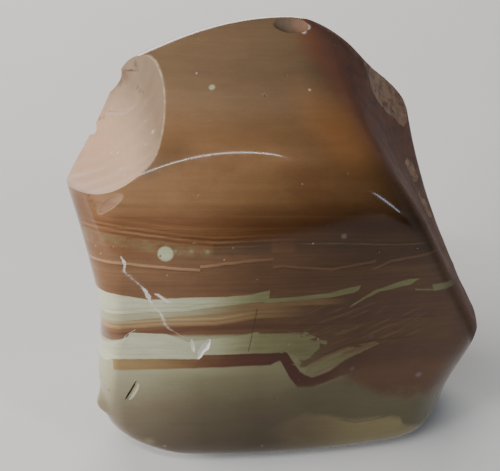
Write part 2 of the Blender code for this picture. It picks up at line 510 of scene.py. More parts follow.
def pinhole_beads(stone, material, **sizes):
    """The beads that cut the pinholes out of a stone, as one object."""
    beads = bpy.data.objects.new("pinholes", stone.data.copy())
    bpy.context.scene.collection.objects.link(beads)
    tree = pinhole_nodes(material)
    strew = beads.modifiers.new("pinholes", "NODES")
    strew.node_group = tree
    sockets = {item.name: item.identifier for item in tree.interface.items_tree if item.in_out == "INPUT"}
    for name, value in sizes.items():
        strew[sockets[name.replace("_", " ").title()]] = value
    mesh = plain_mesh(beads, "pinholes")
    beads.modifiers.clear()
    beads.data = mesh
    return beads


def plain_mesh(obj, name):
    """The result of an object's modifiers as a mesh of its own."""
    evaluated = obj.evaluated_get(bpy.context.evaluated_depsgraph_get())
    mesh = bpy.data.meshes.new_from_object(evaluated)
    mesh.name = name
    return mesh


def cut_away(stone, cutters):
    """Cuts pieces out of the stone. The cut faces take the cutters' material."""
    for cutter in cutters:
        cut = stone.modifiers.new(cutter.name, "BOOLEAN")
        cut.operation = "DIFFERENCE"
        cut.solver = "EXACT"
        cut.material_mode = "TRANSFER"
        cut.object = cutter
    mesh = plain_mesh(stone, stone.name)
    stone.modifiers.clear()
    stone.data = mesh
    for cutter in cutters:
        bpy.data.objects.remove(cutter)


def only_triangles(mesh):
    bm = bmesh.new()
    bm.from_mesh(mesh)
    bmesh.ops.triangulate(bm, faces=bm.faces[:])
    bm.to_mesh(mesh)
    bm.free()


def sharpen_rims(mesh, face_of_loop, material):
    """Marks the edges between broken and ground faces as sharp."""
    kinds = np.full((len(mesh.edges), 2), -1)
    for edge, kind in zip(numbers(mesh.loops, "edge_index", np.int32), material[face_of_loop]):
        kinds[edge, 0 if kinds[edge, 0] < 0 else 1] = kind
    attribute = mesh.attributes.get("sharp_edge") or mesh.attributes.new("sharp_edge", "BOOLEAN", "EDGE")
    sharp = numbers(attribute.data, "value", bool)
    sharp |= (kinds[:, 0] != kinds[:, 1]) & (kinds.max(axis=1) >= BROKEN)
    attribute.data.foreach_set("value", sharp)


def smooth_shading(mesh):
    """Gives the ground skin the skin's own normals, and keeps the rims of the chips crisp."""
    only_triangles(mesh)
    mesh.shade_smooth()
    mesh.set_sharp_from_angle(angle=math.radians(SHARP_TURN))
    face_of_loop = np.repeat(np.arange(len(mesh.polygons)), 3)
    material = numbers(mesh.polygons, "material_index", np.int32)
    sharpen_rims(mesh, face_of_loop, material)
    point = triples(mesh.vertices, "co")
    corner = numbers(mesh.loops, "vertex_index", np.int32)
    facing_up = triples(mesh.polygons, "normal")[face_of_loop, 2]
    normals = np.array([corner_normal.vector for corner_normal in mesh.corner_normals])
    skin = skin_normals(point / MM + FOOT_CENTRE)[corner]
    underside = (np.abs(point[corner, 2]) < 1e-6) & (facing_up < -0.999)
    ground = (material[face_of_loop] < BROKEN) & ~underside
    normals[ground] = skin[ground]
    normals[underside] = (0, 0, -1)
    mesh.normals_split_custom_set([tuple(normal) for normal in normals])


def fit_in_box(mesh, box):
    """Fits the mesh to the box of the part, which its own box is within a few hundredths of a millimetre of."""
    point = triples(mesh.vertices, "co")
    low, high = np.array(box[0]), np.array(box[1])
    own_low, own_high = point.min(axis=0), point.max(axis=0)
    share = (high - low) / (own_high - own_low)
    point = low + (point - own_low) * share
    mesh.vertices.foreach_set("co", point.ravel())


# ---------------------------------------------------------------------------------------------------------
# Materials
# ---------------------------------------------------------------------------------------------------------


def paint(red, green, blue):
    """A colour from 0 to 255, as the shader wants it."""
    light = [c / 255 for c in (red, green, blue)]
    return (*[c / 12.92 if c <= 0.04045 else ((c + 0.055) / 1.055) ** 2.4 for c in light], 1)


# The spans of what the curves below read and give: heights, places across the stone, and shares.
HEIGHTS, ACROSS, SHARES = (0.0, 90.0), (-45.0, 45.0), (0.0, 1.0)


class Nodes:
    """Adds nodes to a tree. Each method gives back the socket that carries its result."""

    def __init__(self, tree):
        self.tree = tree

    def add(self, kind, **settings):
        node = self.tree.nodes.new(kind)
        for name, value in settings.items():
            setattr(node, name, value)
        return node

    def plug(self, socket, value):
        if isinstance(value, bpy.types.NodeSocket):
            self.tree.links.new(value, socket)
        else:
            socket.default_value = value

    def math(self, operation, a, b=0.0, c=0.0):
        node = self.add("ShaderNodeMath", operation=operation)
        for socket, value in zip(node.inputs, (a, b, c)):
            self.plug(socket, value)
        return node.outputs[0]

    def times(self, *factors):
        result = factors[0]
        for factor in factors[1:]:
            result = self.math("MULTIPLY", result, factor)
        return result

    def plus(self, *terms):
        result = terms[0]
        for term in terms[1:]:
            result = self.math("ADD", result, term)
        return result

    def vector(self, operation, *values):
        """A node of vector maths. Its result is its output "Vector" or "Value"."""
        node = self.add("ShaderNodeVectorMath", operation=operation)
        for socket, value in zip(node.inputs, values):
            self.plug(socket, value)
        return node

    def plus_vector(self, vector, amount):
        return self.vector("ADD", vector, self.join(amount, amount, amount)).outputs["Vector"]

    def minus(self, a, b):
        return self.math("SUBTRACT", a, b)

    def most(self, a, b):
        return self.math("MAXIMUM", a, b)

    def rise(self, value, low, high):
        """0 below low, 1 above high, and smooth between them."""
        node = self.add("ShaderNodeMapRange", interpolation_type="SMOOTHSTEP")
        for name, setting in (("Value", value), ("From Min", low), ("From Max", high)):
            self.plug(node.inputs[name], setting)
        return node.outputs["Result"]

    def fall(self, value, low, high):
        return self.minus(1.0, self.rise(value, low, high))

    def mix(self, share, a, b):
        node = self.add("ShaderNodeMix", data_type="RGBA")
        self.plug(node.inputs[0], share)
        self.plug(node.inputs[6], a)
        self.plug(node.inputs[7], b)
        return node.outputs[2]

    def ramp(self, value, stops):
        node = self.add("ShaderNodeValToRGB")
        elements = node.color_ramp.elements
        while len(elements) < len(stops):
            elements.new(0.5)
        for element, (position, _) in zip(elements, stops):
            element.position = position
        for element, (_, colour) in zip(elements, stops):
            element.color = colour
        self.plug(node.inputs[0], value)
        return node.outputs["Color"]

    def noise(self, point, scale, detail=2.0, roughness=0.5, distortion=0.0):
        node = self.add("ShaderNodeTexNoise")
        for name, setting in (
            ("Vector", point),
            ("Scale", scale),
            ("Detail", detail),
            ("Roughness", roughness),
            ("Distortion", distortion),
        ):
            self.plug(node.inputs[name], setting)
        return node.outputs["Fac"]

    def wobble(self, point, scale, height, detail=2.0):
        """Noise that runs from about -height to +height."""
        return self.times(self.minus(self.noise(point, scale, detail), 0.5), 3.0 * height)

    def split(self, point):
        node = self.add("ShaderNodeSeparateXYZ")
        self.plug(node.inputs[0], point)
        return node.outputs

    def split_colour(self, colour):
        node = self.add("ShaderNodeSeparateColor")
        self.plug(node.inputs[0], colour)
        return node.outputs

    def join_colour(self, red, green, blue):
        node = self.add("ShaderNodeCombineColor")
        for socket, value in zip(node.inputs, (red, green, blue)):
            self.plug(socket, value)
        return node.outputs[0]

    def join(self, x, y, z):
        node = self.add("ShaderNodeCombineXYZ")
        for socket, value in zip(node.inputs, (x, y, z)):
            self.plug(socket, value)
        return node.outputs[0]

    def follow(self, value, points, span=ACROSS, reach=HEIGHTS):
        """A number that runs straight from each (value, result) point to the next."""
        low, high = span
        least, most = reach
        share = self.math("DIVIDE", self.minus(value, low), high - low)
        node = self.add("ShaderNodeFloatCurve")
        curve = node.mapping.curves[0]
        full = [(low, points[0][1]), *points, (high, points[-1][1])]
        for _ in range(len(full) - 2):
            curve.points.new(0.5, 0.5)
        for spot, (along, height) in zip(curve.points, full):
            spot.location = ((along - low) / (high - low), (height - least) / (most - least))
            spot.handle_type = "VECTOR"
        node.mapping.update()
        self.plug(node.inputs["Value"], share)
        return self.plus(self.times(node.outputs[0], most - least), least)

    def along_layers(self, point, across, up, start=0.0):
        """The place for a texture that is drawn out along the layers, by its scales across and up."""
        node = self.add("ShaderNodeMapping", vector_type="TEXTURE")
        node.inputs["Location"].default_value = (start, 0.0, 0.0)
        node.inputs["Rotation"].default_value = (-math.atan(DIP), 0.0, 0.0)
        node.inputs["Scale"].default_value = (1 / across, 1 / across, math.cos(math.atan(DIP)) / up)
        self.plug(node.inputs["Vector"], point)
        return node.outputs[0]

    def group(self, tree, **inputs):
        node = self.add("ShaderNodeGroup", node_tree=tree)
        for name, value in inputs.items():
            self.plug(node.inputs[name.replace("_", " ").title()], value)
        return node.outputs


def new_group(name, inputs, outputs):
    """An empty shader node group. Returns its nodes, its input sockets and its output node."""
    tree = bpy.data.node_groups.new(name, "ShaderNodeTree")
    for label, kind, value in inputs:
        socket = tree.interface.new_socket(label, in_out="INPUT", socket_type=kind)
        if value is not None:
            socket.default_value = value
    for label, kind in outputs:
        tree.interface.new_socket(label, in_out="OUTPUT", socket_type=kind)
    nodes = Nodes(tree)
    return nodes, nodes.add("NodeGroupInput").outputs, nodes.add("NodeGroupOutput").inputs


FLOAT, COLOUR, VECTOR = "NodeSocketFloat", "NodeSocketColor", "NodeSocketVector"

# Colours of the crown and the shoulder.
CROWN = paint(126, 101, 77)
CROWN_LOW = paint(128, 96, 66)
CROWN_TOP = paint(112, 90, 68)
CROWN_RED = paint(128, 82, 62)
CROWN_SHADE = paint(94, 72, 50)
GLOW = paint(166, 114, 70)
SHOULDER = paint(137, 104, 74)
SHOULDER_RED = paint(115, 79, 55)
SHADE_BROWN = paint(84, 58, 40)
CORNER_BROWN = paint(100, 68, 46)

# Colours of the lines and the layers.
LINE_DARK = paint(79, 54, 37)
LINE_TAN = paint(155, 122, 80)
OLIVE = paint(128, 115, 86)
OLIVE_DARK = paint(79, 62, 44)
BROWN = paint(117, 84, 58)
PINK = paint(162, 126, 95)
CREAM = paint(186, 187, 157)
# The cream where it is darker to the right: painted shade.
CREAM_IN_PAINTED_SHADE = paint(151, 150, 112)
CREAM_LOW = paint(168, 165, 133)
TAN = paint(159, 129, 91)
DARK_RED = paint(105, 68, 46)
ORANGE_TAN = paint(146, 119, 78)
RED_BROWN = paint(98, 54, 35)
SPLINTERED = paint(150, 116, 92)
MOTTLE = paint(113, 80, 55)
MOTTLE_PURPLE = paint(109, 77, 60)

# Colours of the foot.
BODY = paint(164, 160, 130)
BODY_MIDDLE = paint(132, 121, 98)
BODY_LOW = paint(112, 99, 82)
GREEN = paint(119, 113, 86)
BEIGE = paint(176, 165, 122)
BEIGE_LEFT = paint(150, 134, 106)

# Colours of the marks on the skin, painted highlights and a painted dark reflection among them.
PALE_GREEN = paint(172, 176, 138)
PALE_DISC = paint(172, 177, 144)
PALE_PURPLE = paint(155, 138, 147)
WHITE = paint(199, 192, 182)
BRIGHT = paint(232, 228, 220)
GLINT = paint(205, 186, 172)
RIM_HIGHLIGHT = paint(205, 180, 152)
BRUISE = paint(176, 140, 120)
SCRATCH = paint(92, 70, 66)
PAINTED_DARK_REFLECTION = paint(92, 84, 80)

# Colours of the broken faces and of the worn right facet.
FRESH_BREAK = paint(208, 172, 144)
# The break in painted shade, towards the top of the corner scar.
BREAK_IN_PAINTED_SHADE = paint(172, 146, 128)
SCAR_GREY = paint(136, 117, 97)
# Painted shadow under the scar's ledge, and dark dots by its torn ridges.
SCAR_SHADOW_AND_DOTS = paint(118, 96, 78)
SCAR_PINK = paint(206, 162, 140)
SIDE_SCAR = paint(178, 146, 116)
SIDE_DARK = paint(98, 72, 64)

# The layers run level from left to right, but drop by DIP for each millimetre towards the back. A layer's
# height is its height at y = DIP_START.
DIP = 0.4
DIP_START = -21.0

# Ground colours from the foot to the top, as shares of the span of heights.
GROUND_COLOURS = [
    (0.00, BODY_LOW),
    (0.10, BODY_LOW),
    (0.20, BODY_MIDDLE),
    (0.29, BODY),
    (0.385, BODY),
    (0.39, BROWN),
    (0.56, BROWN),
    (0.60, SHOULDER_RED),
    (0.635, SHOULDER_RED),
    (0.68, SHOULDER),
    (0.75, SHOULDER),
    (0.80, CROWN_LOW),
    (0.86, CROWN),
    (0.91, CROWN_TOP),
    (1.00, CROWN_TOP),
]

# Fine lines under the shoulder: height over their sag, thickness, colour and strength.
SHOULDER_LINES = [
    (2.2, 0.25, LINE_DARK, 0.15),
    (1.5, 0.25, LINE_TAN, 0.22),
    (0.8, 0.22, LINE_DARK, 0.28),
    (0.42, 0.28, ORANGE_TAN, 0.3),
    (-0.02, 0.26, LINE_DARK, 0.5),
    (-0.48, 0.36, TAN, 0.4),
    (-0.95, 0.24, LINE_DARK, 0.4),
    (-1.4, 0.2, LINE_TAN, 0.25),
]

# The crown's right edge, as (height, x) pairs.
CROWN_EDGE = [(62, 16.5), (66, 15.0), (70, 12.9), (74, 10.6), (78, 8.2), (82, 5.8), (85, 3.4), (90, 1.0)]

# Heights of the layers' boundaries, as (x, height) pairs across the front face.
LINES_SAG = [(-32, 56.8), (-28, 56.4), (-24, 55.9), (-20, 55.35), (-17, 54.9), (-14, 54.55), (-11, 54.4),
             (-8, 54.45), (-5, 54.65), (0, 54.9), (6, 55.0), (12, 54.75), (19, 54.3)]
PINK_LINE = [(-31, 50.2), (-26, 50.0), (-17, 49.0), (-13, 48.7), (-5, 49.8), (0, 50.3), (8, 49.4), (15, 50.6),
             (18, 52.2), (26, 53.2)]
CREAM_1_TOP = [(-31, 44.3), (-26, 43.6), (-22, 42.8), (-16, 43.2), (-9, 43.3), (-5, 43.7), (-2, 44.5)]
CREAM_1_LOW = [(-31, 39.3), (-22, 40.2), (-16, 40.3), (-12, 41.0), (-8, 41.6), (-2, 42.2)]
CREAM_1_FOOT = [(-31, 37.4), (-22, 38.6), (-16, 39.1), (-11, 39.4), (-4, 40.3), (2, 41.0)]
THIN_CREAM_TOP = [(-2, 42.7), (2.5, 42.9), (8, 43.5), (11.3, 44.5), (13, 44.8)]
THIN_CREAM_LOW = [(-2, 41.8), (2.5, 42.1), (8, 42.4), (12.2, 43.4), (14, 44.6)]
ARROW_TOP = [(11.5, 40.2), (12.2, 41.0), (15.6, 43.7), (19, 45.0), (21.5, 45.7), (23, 45.7)]
ARROW_LOW = [(11.5, 40.0), (14, 41.9), (16.5, 43.4), (21.6, 44.4), (23.2, 45.7)]
TAN_LOW = [(-31, 36.1), (-20, 37.1), (-11, 37.2), (-4, 38.6), (10, 38.8)]
DARK_RED_TOP = [(-31, 35.1), (-20, 36.4), (-14, 37.0), (-4, 37.3), (6, 36.8)]
DARK_RED_LOW = [(-31, 33.2), (-20, 35.3), (-14, 35.9), (-4, 36.3), (6, 35.6)]
CREAM_2_TOP = [(-31, 32.3), (-26.1, 34.5), (-25.6, 35.5), (-19.4, 35.2), (-15.9, 33.4), (-12.9, 33.9), (-8, 34.4),
               (-4, 35.5), (-3.6, 35.0), (3.7, 34.8), (4.7, 33.3), (6.8, 32.5)]
CREAM_2_LOW = [(-31, 28.2), (-29, 29.4), (-22.6, 29.6), (-14.0, 29.4), (-13.6, 30.4), (-2, 30.5), (0.7, 30.5),
               (2.5, 28.4), (3.9, 27.9), (5.4, 29.5), (7.0, 31.3)]
RED_BAND_LOW = [(-29, 26.8), (-21, 27.1), (-9, 27.4), (-1.8, 27.6), (-0.1, 28.8), (1.7, 24.4), (3.1, 21.9),
                (5.8, 21.8), (9.8, 23.7), (14.2, 25.6), (17.6, 28.4)]
RED_DROP_TOP = [(-1, 30.6), (1.0, 30.6), (3.5, 25.7), (5.7, 24.1), (8.8, 25.6), (11.4, 27.9), (17.4, 31.4)]
SLIVER_TOP = [(4.5, 26.8), (5.6, 27.8), (8.6, 29.4), (11.7, 31.0), (17.4, 31.8)]
SLIVER_LOW = [(4.5, 25.2), (5.7, 24.3), (7.9, 25.9), (11.4, 28.0), (17.4, 31.6)]
GREEN_TOP = [(-6, 20.0), (1.8, 21.9), (5.8, 22.1), (9.8, 23.3), (13.5, 22.7), (16.9, 20.1), (19.8, 17.9),
             (26, 17.2)]
BEIGE_TOP = [(-8, 8.0), (0.2, 13.0), (4.7, 15.2), (9.3, 14.1), (14, 12.6), (20, 12.9), (22.6, 12.5), (23.4, 10.6),
             (27, 9.0)]
DARK_THREAD = [(11, 13.1), (14, 12.1), (17.3, 12.3), (20.1, 13.1)]

# The crack, as (height, x) pairs.
CRACK = [(29.7, -13.7), (33.2, -14.0), (34.6, -16.7), (36.4, -19.0), (37.6, -19.7), (40.0, -20.2), (41.7, -21.6),
         (43.4, -22.0), (45.2, -22.8), (47.0, -24.5), (48.5, -25.9), (50.0, -25.6), (51.2, -26.3)]
# Half the crack's width, as (height, width) pairs.
CRACK_WIDTH = [(30.0, 0.08), (36.0, 0.16), (38.6, 0.42), (40.8, 0.3), (41.6, 0.06), (42.0, 0.06), (42.4, 0.5),
               (44.8, 0.45), (45.4, 0.1), (48.2, 0.1), (48.8, 0.34), (50.4, 0.34), (51.4, 0.1)]
# How white the crack is, as (height, strength) pairs.
CRACK_STRENGTH = [(33.0, 0.3), (38.4, 0.4), (38.8, 0.7), (40.8, 0.6), (41.6, 0.25), (42.2, 0.95), (45.2, 0.95),
                  (45.5, 0.35), (48.2, 0.35), (48.7, 0.85), (51.0, 0.8)]
# Finer cuts beside the crack, as (height, x) pairs.
SIDE_CRACK = [(42.1, -18.6), (43.4, -20.0), (44.0, -20.7)]
DARK_CUT = [(31.0, -5.6), (36.2, -4.8), (40.6, -4.1)]
LEFT_CUT = [(33.0, -27.3), (34.8, -26.4), (35.5, -25.6), (36.2, -24.7)]

# Mostly painted shade, away from the light at the left, and partly the stone's own darker colour: how much of its
# paleness the stone keeps from left to right, above and at its foot.
PAINTED_SHADE = [(-28, 1.0), (-20, 0.97), (-14, 0.82), (-9, 0.63), (-4, 0.46), (4, 0.365), (14, 0.355), (30, 0.46)]
PAINTED_SHADE_LOW = [(-30, 1.0), (-24, 0.87), (-14, 0.51), (-4, 0.38), (6, 0.4), (14, 0.51), (30, 0.63)]

# Single spots: place, radius, softness, colour and strength.
SPOTS = [
    ((-19.0, -21.0, 51.8), 1.25, 0.22, PALE_DISC, 0.95),
    ((-30.0, -15.2, 58.6), 1.8, 1.8, BRUISE, 0.1),
    ((-33.4, -13.0, 55.8), 3.0, 3.0, CORNER_BROWN, 0.9),
    # A painted dark reflection above the left end of the ridge.
    ((-21.6, -14.3, 63.6), 1.3, 1.2, PAINTED_DARK_REFLECTION, 0.45),
    ((-19.6, -13.8, 64.6), 1.0, 1.0, PAINTED_DARK_REFLECTION, 0.35),
    # A painted highlight on the tip of the nub.
    ((-34.0, -16.6, 16.8), 1.0, 0.9, BRIGHT, 0.4),
    # Painted glints in the chip on the top rim.
    ((4.3, 6.9, 78.8), 0.55, 0.25, BRIGHT, 0.9),
    ((3.7, 6.0, 78.3), 0.4, 0.25, BRIGHT, 0.8),
    ((-23.8, -19.8, 8.3), 0.8, 0.8, PALE_GREEN, 0.3),
    ((-21.1, -19.6, 6.9), 0.25, 0.2, WHITE, 0.5),
    ((-3.1, -18.8, 6.1), 0.25, 0.2, WHITE, 0.5),
    ((-17.4, -21.2, 52.4), 0.3, 0.25, PALE_GREEN, 0.5),
    ((-14.8, -21.2, 52.3), 0.35, 0.3, PALE_GREEN, 0.35),
    ((-12.2, -21.1, 52.2), 0.35, 0.3, PALE_GREEN, 0.35),
    ((-11.6, -2.0, 72.0), 0.5, 0.2, PALE_GREEN, 0.8),
    ((-14.2, 1.0, 73.0), 0.2, 0.15, WHITE, 0.7),
    ((4.5, -3.0, 72.1), 0.22, 0.15, WHITE, 0.8),
    ((9.9, -19.9, 54.4), 0.5, 0.2, PALE_PURPLE, 0.8),
    ((15.7, -18.2, 32.3), 0.45, 0.4, PALE_PURPLE, 0.3),
    ((12.8, -18.3, 24.7), 0.4, 0.4, PALE_PURPLE, 0.45),
    ((13.6, -18.3, 24.6), 0.3, 0.3, SIDE_DARK, 0.5),
    # A painted glint, pale purple.
    ((25.1, -15.5, 21.1), 0.5, 0.5, PALE_PURPLE, 0.75),
    ((20.5, -17.0, 19.0), 0.3, 0.3, PALE_PURPLE, 0.35),
    ((16.7, -4.3, 62.2), 0.4, 0.4, GLINT, 0.6),
    ((19.8, -2.5, 57.9), 0.3, 0.4, GLINT, 0.45),
    ((-18.2, -12.4, 66.0), 3.0, 2.7, CROWN_SHADE, 0.55),
    ((-31.6, -14.2, 58.6), 0.22, 0.25, SCRATCH, 0.6),
    ((-31.1, -15.0, 58.2), 0.25, 0.25, SCRATCH, 0.7),
    ((-30.6, -15.8, 57.7), 0.22, 0.25, SCRATCH, 0.65),
]

# Marks on the corner scar, in the frame of the chips: place, radius, softness, colour and strength.
SCAR_SPOTS = [
    # Painted shadow in the hollow under the ledge.
    ((-26.8, 10.2, 68.2), 1.3, 0.9, SCAR_SHADOW_AND_DOTS, 0.9),
    ((-25.6, 9.2, 68.4), 0.9, 0.7, SCAR_SHADOW_AND_DOTS, 0.75),
    ((-23.2, 8.4, 71.2), 0.35, 0.25, SCRATCH, 0.55),
    ((-23.0, 7.6, 70.5), 0.4, 0.3, SCRATCH, 0.45),
    ((-23.0, 5.7, 68.4), 0.25, 0.15, SCRATCH, 0.7),
    ((-22.4, 4.5, 67.9), 0.35, 0.2, SCRATCH, 0.75),
    ((-21.7, 3.6, 68.3), 0.22, 0.15, SCRATCH, 0.6),
    # Dark dots by the torn ridges.
    ((-29.9, 7.2, 61.3), 0.35, 0.3, SCAR_SHADOW_AND_DOTS, 0.7),
    ((-28.9, 6.9, 61.6), 0.3, 0.3, SCAR_SHADOW_AND_DOTS, 0.6),
    ((-27.0, -2.4, 60.1), 0.18, 0.12, BRIGHT, 0.8),
    ((-25.9, -3.7, 60.8), 0.22, 0.14, BRIGHT, 0.8),
    ((-26.3, -5.2, 60.2), 0.15, 0.12, BRIGHT, 0.7),
    ((-25.1, -8.4, 60.6), 0.2, 0.12, BRIGHT, 0.7),
    ((-23.9, -11.6, 61.2), 0.2, 0.14, BRIGHT, 0.6),
    ((-19.7, -5.7, 65.9), 0.28, 0.2, BRIGHT, 0.7),
    ((-20.9, -7.4, 64.6), 0.2, 0.12, BRIGHT, 0.6),
    ((-21.4, -2.2, 66.0), 0.16, 0.1, BRIGHT, 0.5),
    ((-31.0, -12.6, 58.3), 0.3, 0.25, SCRATCH, 0.6),
]

# Breaks that shift the layers: place, slant, throw, lowest, highest, and how far to the right they reach.
FAULTS = [
    (-13.4, 0.05, 0.7, 47.2, 52.0, 60.0),
    (-1.55, 0.04, -1.5, 47.2, 52.6, 60.0),
    (14.9, 0.40, -1.65, 46.0, 53.0, 60.0),
]


def fault_group():
    """Shifts the layers on the right of a slanting line, between two heights."""
    n, given, result = new_group(
        "layer fault",
        [
            ("X", FLOAT, 0.0),
            ("Height", FLOAT, 0.0),
            ("Place", FLOAT, 0.0),
            ("Slant", FLOAT, 0.0),
            ("Throw", FLOAT, 1.0),
            ("Lowest", FLOAT, 0.0),
            ("Highest", FLOAT, 90.0),
            ("Reach", FLOAT, 12.0),
        ],
        [("Height", FLOAT)],
    )
    middle = n.times(n.plus(given["Lowest"], given["Highest"]), 0.5)
    place = n.plus(given["Place"], n.times(n.minus(given["Height"], middle), given["Slant"]))
    past = n.minus(given["X"], place)
    inside = n.times(
        n.rise(given["Height"], given["Lowest"], n.plus(given["Lowest"], 0.6)),
        n.fall(given["Height"], given["Highest"], n.plus(given["Highest"], 0.6)),
    )
    right = n.times(n.rise(past, -0.06, 0.06), n.fall(past, 0.0, given["Reach"]))
    n.plug(result["Height"], n.minus(given["Height"], n.times(given["Throw"], right, inside)))
    return n.tree


def specks_group():
    """Small scattered spots of several sizes."""
    n, given, result = new_group(
        "mineral specks",
        [("Point", VECTOR, None), ("Spacing", FLOAT, 2.0), ("Largest", FLOAT, 0.3), ("Share", FLOAT, 0.3)],
        [("Mask", FLOAT)],
    )
    scale = n.math("DIVIDE", 1.0, given["Spacing"])
    cells = n.add("ShaderNodeTexVoronoi", feature="F1")
    n.plug(cells.inputs["Vector"], given["Point"])
    n.plug(cells.inputs["Scale"], scale)
    cells.inputs["Randomness"].default_value = 1.0
    chance, size, _ = n.split_colour(cells.outputs["Color"])
    radius = n.math("DIVIDE", n.times(given["Largest"], n.plus(0.35, n.times(size, 0.65))), given["Spacing"])
    spot = n.fall(cells.outputs["Distance"], n.times(radius, 0.6), n.times(radius, 1.15))
    n.plug(result["Mask"], n.times(spot, n.math("LESS_THAN", chance, given["Share"])))
    return n.tree


def spot_group():
    """One round spot with a soft edge."""
    n, given, result = new_group(
        "round spot",
        [("Point", VECTOR, None), ("Centre", VECTOR, None), ("Radius", FLOAT, 1.0), ("Softness", FLOAT, 0.2)],
        [("Mask", FLOAT)],
    )
    away = n.vector("DISTANCE", given["Point"], given["Centre"]).outputs["Value"]
    beyond = n.minus(away, given["Radius"])
    n.plug(result["Mask"], n.fall(beyond, n.times(given["Softness"], -1.0), given["Softness"]))
    return n.tree


def chip_group():
    """How far a point is from a chip's middle. It is 1 on the chip's ellipsoid."""
    n, given, result = new_group(
        "near a chip",
        [("Point", VECTOR, None), ("Middle", VECTOR, None), ("Turn", VECTOR, None), ("Radii", VECTOR, None)],
        [("Distance", FLOAT)],
    )
    mapping = n.add("ShaderNodeMapping", vector_type="TEXTURE")
    for name, value in (("Location", "Middle"), ("Rotation", "Turn"), ("Scale", "Radii"), ("Vector", "Point")):
        n.plug(mapping.inputs[name], given[value])
    length = n.add("ShaderNodeVectorMath", operation="LENGTH")
    n.plug(length.inputs[0], mapping.outputs[0])
    n.plug(result["Distance"], length.outputs["Value"])
    return n.tree


def facet_group():
    """How far a point in the stone stands proud of a facet that is only curved from side to side."""
    n, given, result = new_group(
        "off a facet",
        [
            ("Point", VECTOR, None),
            ("Middle", VECTOR, None),
            ("Outward", VECTOR, None),
            ("Sideways", VECTOR, None),
            ("Radius", FLOAT, 100.0),
        ],
        [("Height", FLOAT)],
    )
    offset = n.vector("SUBTRACT", given["Point"], given["Middle"]).outputs["Vector"]
    out = n.vector("DOT_PRODUCT", offset, given["Outward"]).outputs["Value"]
    aside = n.vector("DOT_PRODUCT", offset, given["Sideways"]).outputs["Value"]
    curve = n.math("DIVIDE", n.times(aside, aside, 0.5), given["Radius"])
    n.plug(result["Height"], n.plus(out, curve))
    return n.tree


class Effects(NamedTuple):
    """The node groups that the materials share."""

    fault: bpy.types.NodeTree
    specks: bpy.types.NodeTree
    spot: bpy.types.NodeTree
    chip: bpy.types.NodeTree
    facet: bpy.types.NodeTree


def near_chip(n, effects, point, chip):
    """How far a point is from a chip's middle, as a share of the chip's radii."""
    matrix = chip_matrix(chip)
    middle = matrix.to_translation() - Vector(FOOT_CENTRE)
    turn = matrix.to_quaternion().to_euler()
    return n.group(effects.chip, point=point, middle=middle, turn=turn, radii=chip.radii)["Distance"]


def off_right_facet(n, effects, point):
    """How far a point in the stone stands proud of the right facet."""
    sideways, _, outward = face_axes(RIGHT_FACET.facing, RIGHT_FACET.tilt)
    middle = Vector(RIGHT_FACET.point) - Vector(FOOT_CENTRE)
    return n.group(
        effects.facet, point=point, middle=middle, outward=outward, sideways=sideways, radius=RIGHT_FACET.across
    )["Height"]


def millimetres(n, place):
    """A place given in metres, in millimetres."""
    mapping = n.add("ShaderNodeMapping")
    mapping.inputs["Scale"].default_value = (1 / MM, 1 / MM, 1 / MM)
    n.plug(mapping.inputs["Vector"], place)
    return mapping.outputs[0]


def by_shade(spots):
    """The spots of each shade together."""
    shades = dict.fromkeys(shade for _, _, _, shade, _ in spots)
    return [(wanted, [(*rest, share) for *rest, shade, share in spots if shade == wanted]) for wanted in shades]


class Layers:
    """Paints the agate's layers one over the other, by x and layer height."""

    def __init__(self, n, point, x, h, coats):
        self.n, self.point, self.x, self.h, self.coats = n, point, x, h, coats

    def moved(self, x=None, h=None):
        """The same painting, for layers that have moved."""
        return Layers(self.n, self.point, self.x if x is None else x, self.h if h is None else h, self.coats)

    def line(self, points):
        return self.n.follow(self.x, points)

    def above(self, height, soft):
        return self.n.rise(self.n.minus(self.h, height), -soft, soft)

    def under(self, height, soft):
        return self.n.fall(self.n.minus(self.h, height), -soft, soft)

    def across(self, left, right, soft=0.1, lean=0.0, about=0.0):
        """Between two places along x. The ends lean to the right by `lean` per millimetre up."""
        x = self.x
        if lean:
            x = self.n.minus(x, self.n.times(self.n.minus(self.h, about), lean))
        mask = self.n.rise(x, left - soft, left + soft)
        return self.n.times(mask, self.n.fall(x, right - soft, right + soft))

    def lay(self, shade, share, *masks):
        """One more coat, where all the masks let it through."""
        self.coats.append(self.n.mix(self.n.times(share, *masks), self.coats[-1], shade))

    def band(self, top, low, shade, *masks, soft=0.14, share=1.0):
        """A layer between two heights."""
        self.lay(shade, share, self.above(low, soft), self.under(top, soft), *masks)

    def thread(self, height, thick, shade, *masks, share=1.0, soft=0.1):
        """A thin line of colour `thick` deep."""
        half = thick / 2
        n = self.n
        self.band(n.plus(height, half), n.plus(height, -half), shade, *masks, soft=soft, share=share)


def on_line(n, level, x, points, span, inner, outer):
    """1 within `inner` of a line that climbs through the layers, given as (height, x) pairs, 0 beyond `outer`."""
    line_x = n.follow(level, points, span, (-30.0, 0.0))
    return n.fall(n.math("ABSOLUTE", n.minus(x, line_x)), inner, outer)


